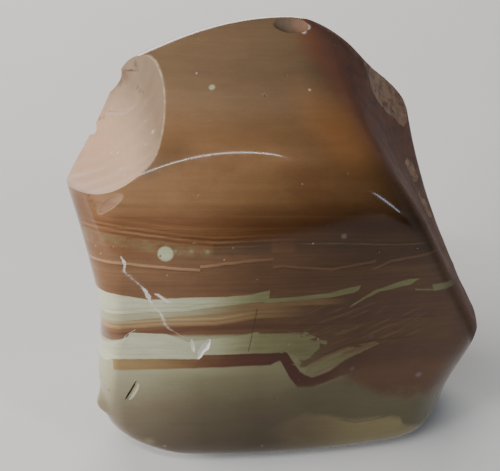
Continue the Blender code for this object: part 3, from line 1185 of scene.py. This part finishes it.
def cracks(paint_on, front):
    """The white crack and the finer cuts beside it."""
    n, point, x, level = paint_on.n, paint_on.point, paint_on.x, paint_on.h
    crack_x = n.follow(level, CRACK, HEIGHTS, ACROSS)
    ragged = n.noise(point, 0.9, 3.0, 0.7)
    grit = n.noise(point, 4.5, 3.0, 0.7)
    off_crack = n.math("ABSOLUTE", n.minus(n.plus(x, n.wobble(point, 2.2, 0.1)), crack_x))
    thick = n.times(n.plus(0.35, n.times(n.rise(ragged, 0.36, 0.64), 0.65)),
                    n.follow(level, CRACK_WIDTH, HEIGHTS, SHARES))
    crack = n.fall(off_crack, n.times(thick, 0.8), n.plus(thick, 0.08))
    dusty = n.fall(off_crack, 0.0, 0.75)
    whiter = n.mix(n.rise(grit, 0.45, 0.6), WHITE, BRIGHT)
    paint_on.lay(WHITE, 0.5, n.times(dusty, n.rise(grit, 0.5, 0.62)), front, paint_on.above(36.0, 0.2),
                 paint_on.under(48.5, 0.3))
    strength = n.follow(level, CRACK_STRENGTH, HEIGHTS, SHARES)
    paint_on.lay(whiter, strength, crack, front, paint_on.above(33.4, 0.2), paint_on.under(51.2, 0.3))
    side = on_line(n, level, x, SIDE_CRACK, (30.0, 60.0), 0.25, 0.5)
    paint_on.lay(whiter, 0.85, side, front, paint_on.above(42.1, 0.15), paint_on.under(44.1, 0.15))
    dark_cut = on_line(n, level, n.plus(x, n.wobble(point, 1.5, 0.15)), DARK_CUT, HEIGHTS, 0.03, 0.22)
    paint_on.lay(OLIVE_DARK, 0.6, dark_cut, front, paint_on.above(31.0, 0.2), paint_on.under(40.6, 0.3))
    left_cut = on_line(n, level, x, LEFT_CUT, (30.0, 60.0), 0.02, 0.2)
    paint_on.lay(BRIGHT, 0.6, left_cut, front, paint_on.above(33.0, 0.15), paint_on.under(36.2, 0.15),
                 n.rise(grit, 0.35, 0.6))


def spots_and_specks(paint_on, effects, sag):
    """The pale disc, the single spots and the scattered specks."""
    n, point = paint_on.n, paint_on.point
    for shade, spots in by_shade(SPOTS):
        mask = 0.0
        for place, radius, soft, share in spots:
            disc = n.group(effects.spot, point=point, centre=place, radius=radius, softness=soft)["Mask"]
            mask = n.most(mask, n.times(disc, share))
        paint_on.lay(shade, mask)
    pale = n.group(effects.specks, point=point, spacing=2.4, largest=0.2, share=0.22)["Mask"]
    elsewhere = n.along_layers(point, 1.0, 1.0, start=40.0)
    dark = n.group(effects.specks, point=elsewhere, spacing=1.7, largest=0.3, share=0.4)["Mask"]
    speckled = n.times(n.rise(sag, -3.4, -2.6), n.fall(sag, -1.2, -0.4))
    paint_on.lay(WHITE, 0.75, pale, n.plus(0.12, speckled))
    paint_on.lay(LINE_DARK, 0.8, dark, speckled)


def crown_colours(paint_on):
    """Strata, clouds and the red right edge over the ground colours, from the shoulder up, with painted shade and
    a painted dark reflection past the crown's right edge, and painted shade on the right of the shoulder and the
    layers under it.
    """
    n, point, x, level = paint_on.n, paint_on.point, paint_on.x, paint_on.h
    cloud = n.noise(point, 0.11, 4.0, 0.55)
    strata = n.noise(n.along_layers(point, 0.02, 0.9), 1.0, 4.0, 0.6)
    calm = n.minus(1.0, n.times(n.rise(level, 60.0, 68.0), 0.72))
    paint_on.lay(LINE_TAN, 0.35, n.rise(strata, 0.5, 0.75), n.rise(level, 41.0, 43.0), calm)
    paint_on.lay(LINE_DARK, 0.3, n.fall(strata, 0.27, 0.48), n.rise(level, 41.0, 43.0), calm)
    paint_on.lay(SHOULDER_RED, 0.5, n.rise(cloud, 0.45, 0.7), n.rise(level, 57.0, 60.0), n.fall(level, 66.0, 74.0))
    glow_edge = n.minus(x, n.follow(level, CROWN_EDGE, (55.0, 95.0), (-5.0, 25.0)))
    glow_edge = n.plus(glow_edge, n.wobble(point, 0.25, 0.5))
    on_crown = n.rise(level, 60.0, 66.0)
    paint_on.lay(GLOW, 0.85, n.rise(glow_edge, -10.0, -1.5), n.rise(level, 61.0, 71.0), n.fall(level, 72.0, 83.0))
    paint_on.lay(CROWN_RED, 0.85, n.rise(glow_edge, -0.8, 3.5), on_crown)
    # Painted shade and a painted dark reflection: the side past the crown's right edge is darkened.
    paint_on.lay(SIDE_DARK, 0.6, n.rise(glow_edge, 2.0, 6.5), on_crown)
    # Painted shade on the right, from the shoulder down to the layers under it.
    paint_on.lay(SHADE_BROWN, 0.6, n.rise(x, 2.0, 14.0), n.rise(level, 46.0, 50.0), n.fall(level, 57.0, 68.0))


def right_half(paint_on, mist, right_edge):
    """The right half under the shoulder: purple-brown and mottled."""
    n = paint_on.n
    mottled = n.mix(n.rise(mist, 0.4, 0.62), MOTTLE, MOTTLE_PURPLE)
    low_edge = n.plus(18.0, n.wobble(paint_on.point, 0.3, 2.2))
    paint_on.band(44.0, low_edge, mottled, n.rise(right_edge, 4.0, 15.0), soft=2.6)
    paint_on.band(40.5, 31.0, MOTTLE_PURPLE, paint_on.across(5.0, 18.0, 3.0), soft=1.5, share=0.6)


def shoulder_lines(fine, mist):
    """The fine lines under the shoulder, painted by their height over the line they sag along."""
    n, x = fine.n, fine.x
    left = n.fall(x, -16.0, -8.0)
    breaks = n.rise(n.noise(n.along_layers(fine.point, 0.25, 1.2), 1.0, 3.0), 0.34, 0.56)
    fine.band(-1.3, -3.4, OLIVE, left, n.rise(mist, 0.3, 0.6), soft=0.5, share=0.55)
    dark_zone = n.most(fine.across(-11.3, -1.8, 0.4), fine.across(2.0, 30.0, 0.8))
    fine.band(-0.4, -2.9, OLIVE_DARK, dark_zone, soft=0.45, share=0.5)
    fade = n.fall(x, -10.0, 6.0)
    for height, thick, shade, share in SHOULDER_LINES:
        fine.thread(height, thick, shade, n.plus(0.2, n.times(fade, 0.8)), n.plus(0.35, n.times(breaks, 0.65)),
                    share=share, soft=0.16)
    fine.thread(-1.35, 0.25, TAN, n.rise(x, 1.0, 5.0), breaks, share=0.4)


def pink_line(stepped):
    """The pink line, stepped where it crosses the faults."""
    n = stepped.n
    strong = n.plus(0.5, n.times(n.fall(stepped.x, -14.0, -2.0), 0.5))
    stepped.thread(stepped.line(PINK_LINE), 0.5, PINK, strong, share=0.8)
    stepped.thread(n.plus(stepped.line(PINK_LINE), -0.42), 0.22, LINE_DARK, share=0.4)


def first_cream(paint_on, cream):
    """The first cream layer, the tan and dark red layers under it and its thin torn pieces on the right."""
    n, x, line = paint_on.n, paint_on.x, paint_on.line
    west = paint_on.across(-60.0, -2.1, 0.08, lean=0.06, about=43.0)
    paint_on.band(line(CREAM_1_FOOT), line(TAN_LOW), TAN, n.fall(x, -5.0, 7.0), soft=0.3)
    paint_on.band(line(CREAM_1_LOW), line(CREAM_1_FOOT), CREAM_LOW, n.fall(x, -14.0, -2.0), soft=0.2, share=0.9)
    paint_on.band(line(CREAM_1_LOW), line(CREAM_1_FOOT), TAN, n.rise(x, -14.0, -2.0), n.fall(x, 6.0, 12.0),
                  soft=0.2, share=0.8)
    paint_on.band(line(CREAM_1_TOP), line(CREAM_1_LOW), cream, west)
    paint_on.thread(n.plus(line(CREAM_1_LOW), 0.9), 0.2, TAN, n.fall(x, -20.0, -6.0), share=0.5)
    paint_on.thread(n.plus(line(CREAM_1_FOOT), 0.1), 0.3, ORANGE_TAN, west, share=0.6)
    paint_on.thread(n.plus(line(TAN_LOW), 1.35), 0.3, CREAM_LOW, n.fall(x, -12.0, 0.0), share=0.5)
    paint_on.thread(n.plus(line(TAN_LOW), 0.8), 0.25, BROWN, n.fall(x, -2.0, 8.0), share=0.45)
    paint_on.band(line(THIN_CREAM_TOP), line(THIN_CREAM_LOW), cream,
                  paint_on.across(-2.0, 13.1, 0.08, lean=0.35, about=44.6))
    paint_on.band(line(ARROW_TOP), line(ARROW_LOW), cream, paint_on.across(11.5, 23.3, 0.1))
    paint_on.thread(line([(22, 43.4), (26, 43.0)]), 0.4, cream, paint_on.across(22.6, 25.8), share=0.8)
    paint_on.band(line([(25.8, 44.2), (30, 44.4)]), line([(25.8, 42.7), (30, 43.2)]), cream,
                  paint_on.across(25.7, 33.5, 0.12, lean=-0.3, about=43.5))
    paint_on.band(line(DARK_RED_TOP), line(DARK_RED_LOW), DARK_RED, n.fall(x, 4.0, 14.0), soft=0.25, share=0.85)
    paint_on.thread(n.plus(line(TAN_LOW), 0.1), 0.3, ORANGE_TAN, n.fall(x, -2.0, 8.0), share=0.7)


def second_cream(paint_on, cream, shift):
    """The red band, the red drop, and the second cream layer with its broken and frayed right end."""
    n, point, x, line = paint_on.n, paint_on.point, paint_on.x, paint_on.line
    red = n.mix(n.rise(n.plus(x, n.wobble(point, 0.3, 2.0)), -26.0, -6.0), ORANGE_TAN, RED_BROWN)
    paint_on.band(n.plus(line(CREAM_2_LOW), 0.2), line(RED_BAND_LOW), red, paint_on.across(-29.1, 0.2, 0.1),
                  soft=0.25)
    paint_on.band(line(RED_DROP_TOP), line(RED_BAND_LOW), RED_BROWN, paint_on.across(-0.9, 30.0, 0.3),
                  n.fall(x, 8.0, 17.5), soft=0.3)
    paint_on.band(line([(2, 36.4), (20, 36.8)]), line(SLIVER_TOP), BROWN, paint_on.across(3.4, 30.0, 0.5),
                  soft=0.25, share=0.85)
    turned = n.add("ShaderNodeMapping", vector_type="TEXTURE")
    turned.inputs["Rotation"].default_value = (0.0, -0.42, 0.0)
    turned.inputs["Scale"].default_value = (7.0, 7.0, 0.7)
    n.plug(turned.inputs["Vector"], point)
    rising = n.noise(turned.outputs[0], 1.0, 4.0, 0.6)
    streaked = n.times(paint_on.across(3.0, 24.0, 3.0), paint_on.above(32.0, 1.5), paint_on.under(41.0, 1.0))
    paint_on.lay(LINE_TAN, 0.5, n.rise(rising, 0.53, 0.64), streaked)
    paint_on.lay(SIDE_DARK, 0.45, n.fall(rising, 0.34, 0.46), streaked)
    splintered = n.mix(n.rise(rising, 0.44, 0.54), SPLINTERED, cream)
    shift_less = n.times(shift, 0.45)
    frayed = paint_on.moved(n.plus(x, shift_less), n.plus(paint_on.h, shift_less))
    frayed.band(frayed.line(SLIVER_TOP), frayed.line(SLIVER_LOW), splintered, frayed.across(4.6, 17.4, 0.2),
                soft=0.12, share=0.85)
    paint_on.thread(n.plus(line(SLIVER_TOP), 0.7), 0.5, DARK_RED, paint_on.across(7.0, 22.0, 2.0), share=0.7)
    broken = paint_on.moved(n.plus(x, shift), n.plus(paint_on.h, n.times(shift, 0.8)))
    broken.band(broken.line(CREAM_2_TOP), broken.line(CREAM_2_LOW), cream, broken.across(-60.0, 6.9, 0.1))


def foot_colours(paint_on, right_edge):
    """The green and beige layers at the foot of the stone."""
    n, line = paint_on.n, paint_on.line
    soft_edge = n.wobble(paint_on.point, 0.5, 0.8)
    paint_on.band(n.plus(line(GREEN_TOP), soft_edge), line(BEIGE_TOP), GREEN, n.rise(right_edge, -2.0, 8.0),
                  soft=1.5, share=0.85)
    paint_on.lay(n.mix(n.rise(paint_on.x, 3.0, 17.0), BEIGE_LEFT, BEIGE), 0.8, n.rise(right_edge, -6.0, 8.0),
                 paint_on.under(n.plus(line(BEIGE_TOP), n.times(soft_edge, 0.4)), 0.8))
    paint_on.thread(line(DARK_THREAD), 0.35, OLIVE_DARK, paint_on.across(11.2, 20.4, 1.5), share=0.4, soft=0.2)


def mineral_texture(n, point, level):
    """Fine streaks along the layers and mineral grain, about zero."""
    streaks = n.noise(n.along_layers(point, 0.06, 2.4), 1.0, 5.0, 0.65)
    powder = n.noise(point, 3.2, 3.0, 0.65)
    patches = n.noise(n.along_layers(point, 0.22, 0.7), 1.0, 4.0, 0.6)
    banded = n.times(n.rise(level, 26.0, 30.0), n.fall(level, 53.0, 56.0))
    return n.plus(
        n.times(n.minus(streaks, 0.5), n.plus(0.12, n.times(banded, 0.45))),
        n.times(n.minus(powder, 0.5), 0.2),
        n.times(n.minus(patches, 0.5), n.plus(0.25, n.times(banded, 0.2))),
    )


def with_painted_shade(n, colour, x, y, z, level, texture):
    """The colours with their texture, and with painted shade, which darkens them to the right and a little to the
    foot.
    """
    low = n.fall(level, 24.0, 29.0)
    shade_and_grain = n.times(n.follow(x, PAINTED_SHADE, ACROSS, SHARES), n.minus(1.0, low))
    shade_to_foot = n.plus(0.85, n.times(n.rise(z, 10.0, 26.0), 0.15))
    shade_low = n.times(n.follow(x, PAINTED_SHADE_LOW, ACROSS, SHARES), shade_to_foot)
    shade_and_grain = n.plus(shade_and_grain, n.times(shade_low, low))
    shade_and_grain = n.plus(shade_and_grain, n.times(n.minus(1.0, shade_and_grain), n.rise(level, 54.0, 66.0), 0.75))
    shade_and_grain = n.plus(shade_and_grain, n.times(n.minus(1.0, shade_and_grain), n.rise(y, -14.0, 6.0), 0.7))
    shoulder_right = n.times(n.rise(x, -20.0, 12.0), n.rise(level, 54.0, 57.0), n.fall(level, 65.0, 70.0))
    shade_and_grain = n.times(shade_and_grain, n.minus(1.0, n.times(shoulder_right, 0.42)), n.plus(1.0, texture))
    # The painted shade as a colour, warmer as it darkens.
    depth = n.join_colour(shade_and_grain, n.math("POWER", shade_and_grain, 1.08), n.math("POWER", shade_and_grain, 1.3))
    shaded = n.add("ShaderNodeMix", data_type="RGBA", blend_type="MULTIPLY")
    shaded.inputs[0].default_value = 1.0
    n.plug(shaded.inputs[6], colour)
    n.plug(shaded.inputs[7], depth)
    return shaded.outputs[2]


def layers_group(name, effects, marked=True):
    """The colours of the agate at a point in the stone, which is given in metres.

    Only the ground skin is marked with the crack, the spots and the specks.
    """
    n, given, result = new_group(
        name,
        [("Point", VECTOR, None), ("Waviness", FLOAT, 1.0)],
        [("Color", COLOUR), ("Worn", FLOAT)],
    )
    point = millimetres(n, given["Point"])
    x, y, z = n.split(point)
    waves = n.times(
        n.plus(n.wobble(point, 0.12, 0.12), n.wobble(point, 0.7, 0.07), n.wobble(point, 2.6, 0.035)),
        given["Waviness"],
    )
    level = n.plus(z, n.times(n.minus(y, DIP_START), DIP), waves)
    stepped = level
    for place, slant, throw, lowest, highest, reach in FAULTS:
        stepped = n.group(
            effects.fault, x=x, height=stepped, place=place, slant=slant, throw=throw, lowest=lowest,
            highest=highest, reach=reach
        )["Height"]
    front = n.fall(y, -6.0, 4.0)
    mist = n.noise(point, 0.35, 4.0, 0.6)

    paint_on = Layers(n, point, x, level, [n.ramp(n.math("DIVIDE", level, HEIGHTS[1]), GROUND_COLOURS)])
    crown_colours(paint_on)
    right_edge = n.plus(x, n.wobble(point, 0.15, 4.0))
    right_half(paint_on, mist, right_edge)
    sag = n.minus(level, paint_on.line(LINES_SAG))
    shoulder_lines(paint_on.moved(h=sag), mist)
    pink_line(paint_on.moved(h=stepped))

    # Each shard of the second cream layer's broken end is shifted by its own amount.
    shards = n.add("ShaderNodeTexVoronoi", feature="F1")
    n.plug(shards.inputs["Vector"], n.along_layers(point, 1.0, 1.5))
    shards.inputs["Scale"].default_value = 0.8
    shift = n.times(n.minus(n.split_colour(shards.outputs["Color"])[0], 0.5), 2.2, n.rise(x, -0.5, 1.5))
    # The cream darkens to the right with painted shade.
    cream = n.mix(n.rise(x, -14.0, -3.0), CREAM, CREAM_IN_PAINTED_SHADE)
    first_cream(paint_on, cream)
    second_cream(paint_on, cream, shift)
    foot_colours(paint_on, right_edge)
    if marked:
        cracks(paint_on, front)
        spots_and_specks(paint_on, effects, sag)

    texture = mineral_texture(n, point, level)
    # The colours take the painted shade and their texture.
    n.plug(result["Color"], with_painted_shade(n, paint_on.coats[-1], x, y, z, level, texture))
    n.plug(result["Worn"], n.rise(off_right_facet(n, effects, point), *POLISH_FADES))
    return n.tree


def new_material(name):
    """An empty node material. Returns it with its nodes and its shader."""
    material = bpy.data.materials.new(name)
    material.use_nodes = True
    shader = material.node_tree.nodes["Principled BSDF"]
    return material, Nodes(material.node_tree), shader


def stone_material(name, layers):
    """A material of the stone. Returns it with its nodes and shader, the point in millimetres and the layers."""
    material, n, shader = new_material(name)
    place = n.add("ShaderNodeTexCoord").outputs["Object"]
    point = millimetres(n, place)
    return material, n, shader, point, n.group(layers, point=place)


def chip_rim_highlights(n, effects, point):
    """Thin lines along the rims of the corner scar and of the flake under it: bruised edges, with a painted
    highlight on them.
    """
    scar = near_chip(n, effects, point, CORNER_SCAR)
    flake = near_chip(n, effects, point, EDGE_FLAKE)
    ragged = n.plus(0.55, n.times(n.rise(n.noise(point, 1.1, 3.0), 0.35, 0.65), 0.45))
    x, _, z = n.split(point)
    scar_rim = n.times(n.fall(scar, 1.006, 1.03), n.rise(x, -25.0, -21.5))
    flake_rim = n.fall(flake, 1.0, 1.12)
    # The flake's rim and its painted highlight are strong on the side under its long axis, and faint on the other.
    lower_side = n.minus(n.times(n.plus(x, 30.7), 0.857), n.minus(z, 56.4))
    flake_rim = n.times(flake_rim, n.plus(0.25, n.times(n.rise(lower_side, 0.0, 0.8), 0.65)))
    return n.times(n.most(scar_rim, flake_rim), ragged)


def polished_agate(effects, layers):
    """The polished facets, with a haze in the polish, dulled where they meet the worn facet."""
    material, n, shader, point, out = stone_material("polished_agate", layers)
    # The rims carry a painted highlight over the layers' colours.
    n.plug(shader.inputs["Base Color"], n.mix(n.times(chip_rim_highlights(n, effects, point), 0.75), out["Color"], RIM_HIGHLIGHT))
    haze = n.noise(point, 0.12, 3.0)
    n.plug(shader.inputs["Roughness"], n.plus(0.06, n.times(haze, 0.14), n.times(out["Worn"], 0.62)))
    shader.inputs["Specular IOR Level"].default_value = 0.3
    return material


def worn_agate(effects, layers):
    """The right facet, ground but never polished."""
    material, n, shader, point, out = stone_material("worn_agate", layers)
    mottle = n.noise(point, 0.45, 5.0, 0.62)
    grit = n.noise(point, 3.0, 4.0, 0.7)
    dull = n.mix(n.times(n.rise(mottle, 0.36, 0.6), 0.6), SIDE_DARK, CROWN_RED)
    dull = n.mix(n.rise(off_right_facet(n, effects, point), -2.4, -0.6), out["Color"], dull)
    n.plug(shader.inputs["Base Color"], n.mix(n.times(n.rise(grit, 0.6, 0.74), 0.5), dull, SIDE_SCAR))
    n.plug(shader.inputs["Roughness"], n.plus(0.5, n.times(grit, 0.2)))
    shader.inputs["Specular IOR Level"].default_value = 0.22
    bump = n.add("ShaderNodeBump")
    bump.inputs["Strength"].default_value = 0.5
    bump.inputs["Distance"].default_value = 0.0003
    n.plug(bump.inputs["Height"], grit)
    n.plug(shader.inputs["Normal"], bump.outputs["Normal"])
    return material


def scar_marks(n, point, colour):
    """Painted shadow under the ledge, painted shade towards the top and right, a painted highlight on the lip of
    the step, dark dots, pale specks and scratches on the corner scar.
    """
    x, _, z = n.split(point)
    cloud = n.noise(point, 0.4, 4.0, 0.6)
    # Painted shade: the scar greyer towards its top and its right.
    upper_right_shade = n.plus(n.times(n.rise(z, 61.5, 69.5), 0.85), n.times(n.rise(x, -25.5, -18.0), 0.5))
    colour = n.mix(n.times(upper_right_shade, n.plus(0.62, n.times(cloud, 0.7))), colour, SCAR_GREY)
    colour = n.mix(n.times(n.fall(z, 57.5, 64.0), n.fall(x, -31.0, -21.0), 0.45), colour, SCAR_PINK)
    over_step = n.minus(z, n.follow(x, [(a - FOOT_CENTRE[0], b) for a, b in SCAR_STEP]))
    # A faint painted highlight along the lip under the step.
    lip_highlight = n.times(n.rise(over_step, -0.5, -0.2), n.fall(over_step, -0.12, 0.0))
    colour = n.mix(n.times(lip_highlight, n.rise(x, -31.5, -29.5), n.fall(x, -26.0, -24.0), 0.14), colour, BRIGHT)
    shaken = n.plus_vector(point, n.wobble(point, 0.9, 0.3))
    outward = face_axes(CORNER_SCAR.facing, CORNER_SCAR.tilt)[2]
    for shade, spots in by_shade(SCAR_SPOTS):
        mask = 0.0
        for place, radius, soft, share in spots:
            offset = n.vector("SUBTRACT", shaken, Vector(place) - Vector(FOOT_CENTRE)).outputs["Vector"]
            cross = n.vector("CROSS_PRODUCT", offset, outward).outputs["Vector"]
            off_axis = n.vector("LENGTH", cross).outputs["Value"]
            disc = n.fall(n.minus(off_axis, radius), -soft, soft)
            mask = n.most(mask, n.times(disc, share))
        colour = n.mix(mask, colour, shade)
    return colour


def broken_agate(effects, layers):
    """The chips: fresh on the corner, and nearer to the colours of the layers elsewhere."""
    material, n, shader, point, out = stone_material("broken_agate", layers)
    x, y, z = n.split(point)
    frost = n.noise(point, 1.4, 5.0, 0.6)
    # The break darkens towards the top with painted shade.
    fresh = scar_marks(n, point, n.mix(n.rise(z, 58.0, 74.0), FRESH_BREAK, BREAK_IN_PAINTED_SHADE))
    to_right = n.rise(x, 8.0, 12.0)
    side = n.mix(n.rise(n.noise(point, 0.6, 5.0, 0.65), 0.28, 0.6), SIDE_DARK, SIDE_SCAR)
    fresh = n.mix(to_right, fresh, side)
    near_flake = n.fall(near_chip(n, effects, point, EDGE_FLAKE), 1.1, 1.3)
    foot = n.fall(z, 26.0, 28.0)
    top = n.times(n.rise(z, 76.0, 77.0), n.rise(x, -6.0, -4.0))
    plain = n.minus(1.0, n.plus(n.times(near_flake, 0.8), n.times(foot, 0.7), n.times(top, 0.55)))
    frosted = n.mix(n.times(n.plus(0.6, n.times(frost, 0.25)), plain), out["Color"], fresh)
    # Painted light and shade at the crescent: its shell, whose slope faces the light, is painted cream, and its
    # slit, where shade falls, is painted dark.
    shell = near_chip(n, effects, point, CRESCENT_SHELL)
    frosted = n.mix(n.times(n.fall(shell, 1.02, 1.1), 0.7), frosted, CREAM)
    slit_shade = n.times(n.fall(near_chip(n, effects, point, CRESCENT), 1.05, 1.3), n.rise(shell, 1.0, 1.1))
    frosted = n.mix(n.times(slit_shade, 0.6), frosted, OLIVE_DARK)
    # The splinters in the front face are painted bright inside: a painted highlight where their fresh breaks catch
    # the light.
    splinter_highlight = n.times(n.fall(y, -17.0, -15.0), n.rise(z, 28.0, 29.0), n.fall(z, 37.0, 38.0))
    splinter_highlight = n.times(splinter_highlight, n.rise(x, -18.0, -17.0), n.fall(x, -11.5, -10.5))
    n.plug(shader.inputs["Base Color"], n.mix(splinter_highlight, frosted, BRIGHT))
    shader.inputs["Roughness"].default_value = 0.62
    return material


def floor_material():
    """A pale floor with the faintest of clouds."""
    material, n, shader = new_material("pale_floor")
    point = n.add("ShaderNodeTexCoord").outputs["Object"]
    shade = n.noise(point, 40.0, 3.0)
    n.plug(shader.inputs["Base Color"], n.mix(shade, paint(224, 223, 221), paint(230, 229, 227)))
    shader.inputs["Roughness"].default_value = 0.8
    return material


# ---------------------------------------------------------------------------------------------------------
# Studio
# ---------------------------------------------------------------------------------------------------------

LIT_PLACE = (0.0, 0.0, 0.04)  # where the lights point, in metres
LOOKED_AT = Vector((-5.32, -0.39, 41.0)) * MM
CAMERA_RISE = 35.0  # degrees the camera looks down from
CAMERA_DISTANCE = 0.21
LENS = 83.16


def on_the_sky(azimuth, elevation, distance, centre):
    """A place seen from `centre` at that azimuth, from the front to the right, and elevation."""
    a, e = math.radians(azimuth), math.radians(elevation)
    away = Vector((math.sin(a) * math.cos(e), -math.cos(a) * math.cos(e), math.sin(e)))
    return Vector(centre) + away * distance


def aim(obj, place, target):
    obj.location = place
    obj.rotation_euler = (Vector(target) - place).to_track_quat("-Z", "Y").to_euler()


def soft_light(name, azimuth, elevation, distance, size, watts, colour=(1, 1, 1), mirrored=True):
    """A rectangular lamp. One that isn't mirrored lights the stone but doesn't show in its polish."""
    lamp = bpy.data.lights.new(name, "AREA")
    lamp.shape = "RECTANGLE"
    lamp.size, lamp.size_y = size
    lamp.energy = watts
    lamp.color = colour
    obj = bpy.data.objects.new(name, lamp)
    obj.visible_glossy = mirrored
    bpy.context.scene.collection.objects.link(obj)
    aim(obj, on_the_sky(azimuth, elevation, distance, LIT_PLACE), LIT_PLACE)


def camera():
    lens = bpy.data.cameras.new("camera")
    lens.lens = LENS
    lens.sensor_width = 36.0
    lens.clip_start = 0.01
    obj = bpy.data.objects.new("camera", lens)
    bpy.context.scene.collection.objects.link(obj)
    aim(obj, on_the_sky(0, CAMERA_RISE, CAMERA_DISTANCE, LOOKED_AT), LOOKED_AT)
    bpy.context.scene.camera = obj


def studio():
    bm = bmesh.new()
    bmesh.ops.create_grid(bm, x_segments=8, y_segments=8, size=1.5)
    mesh = bpy.data.meshes.new("floor")
    bm.to_mesh(mesh)
    bm.free()
    mesh.materials.append(floor_material())
    floor = bpy.data.objects.new("floor", mesh)
    bpy.context.scene.collection.objects.link(floor)
    soft_light("window_left", -72, 21, 0.9, (0.85, 0.4), 13.0, (1.0, 0.98, 0.95), mirrored=False)
    soft_light("window_back", 190, 17, 0.9, (0.7, 0.4), 7.5, (1.0, 0.97, 0.92))
    soft_light("strip_above", -24, 55, 0.8, (0.40, 0.035), 1.7, (0.97, 0.98, 1.0))
    soft_light("strip_right", 49, 27, 0.8, (0.05, 0.42), 1.25, (0.66, 0.78, 1.0))
    world = bpy.data.worlds.new("studio")
    world.use_nodes = True
    world.node_tree.nodes["Background"].inputs["Color"].default_value = (1.0, 0.98, 0.95, 1)
    world.node_tree.nodes["Background"].inputs["Strength"].default_value = 0.06
    bpy.context.scene.world = world


def main():
    effects = Effects(fault_group(), specks_group(), spot_group(), chip_group(), facet_group())
    layers = layers_group("agate layers", effects)
    polished, worn = polished_agate(effects, layers), worn_agate(effects, layers)
    broken = broken_agate(effects, layers_group("agate layers inside", effects, marked=False))
    stone = as_object(polished_body(), "palm_stone", polished)
    stone.data.materials.append(worn)
    leave_unpolished(stone.data)
    beads = pinhole_beads(stone, broken, seed=5, smallest=0.0001, largest=0.00026)
    cut_away(stone, [as_object(chip_cutter(chip), chip.name, broken) for chip in CHIPS] + [beads])
    smooth_shading(stone.data)
    fit_in_box(stone.data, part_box("stone"))
    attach(stone, "root")
    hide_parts("stone")
    studio()
    camera()


main()
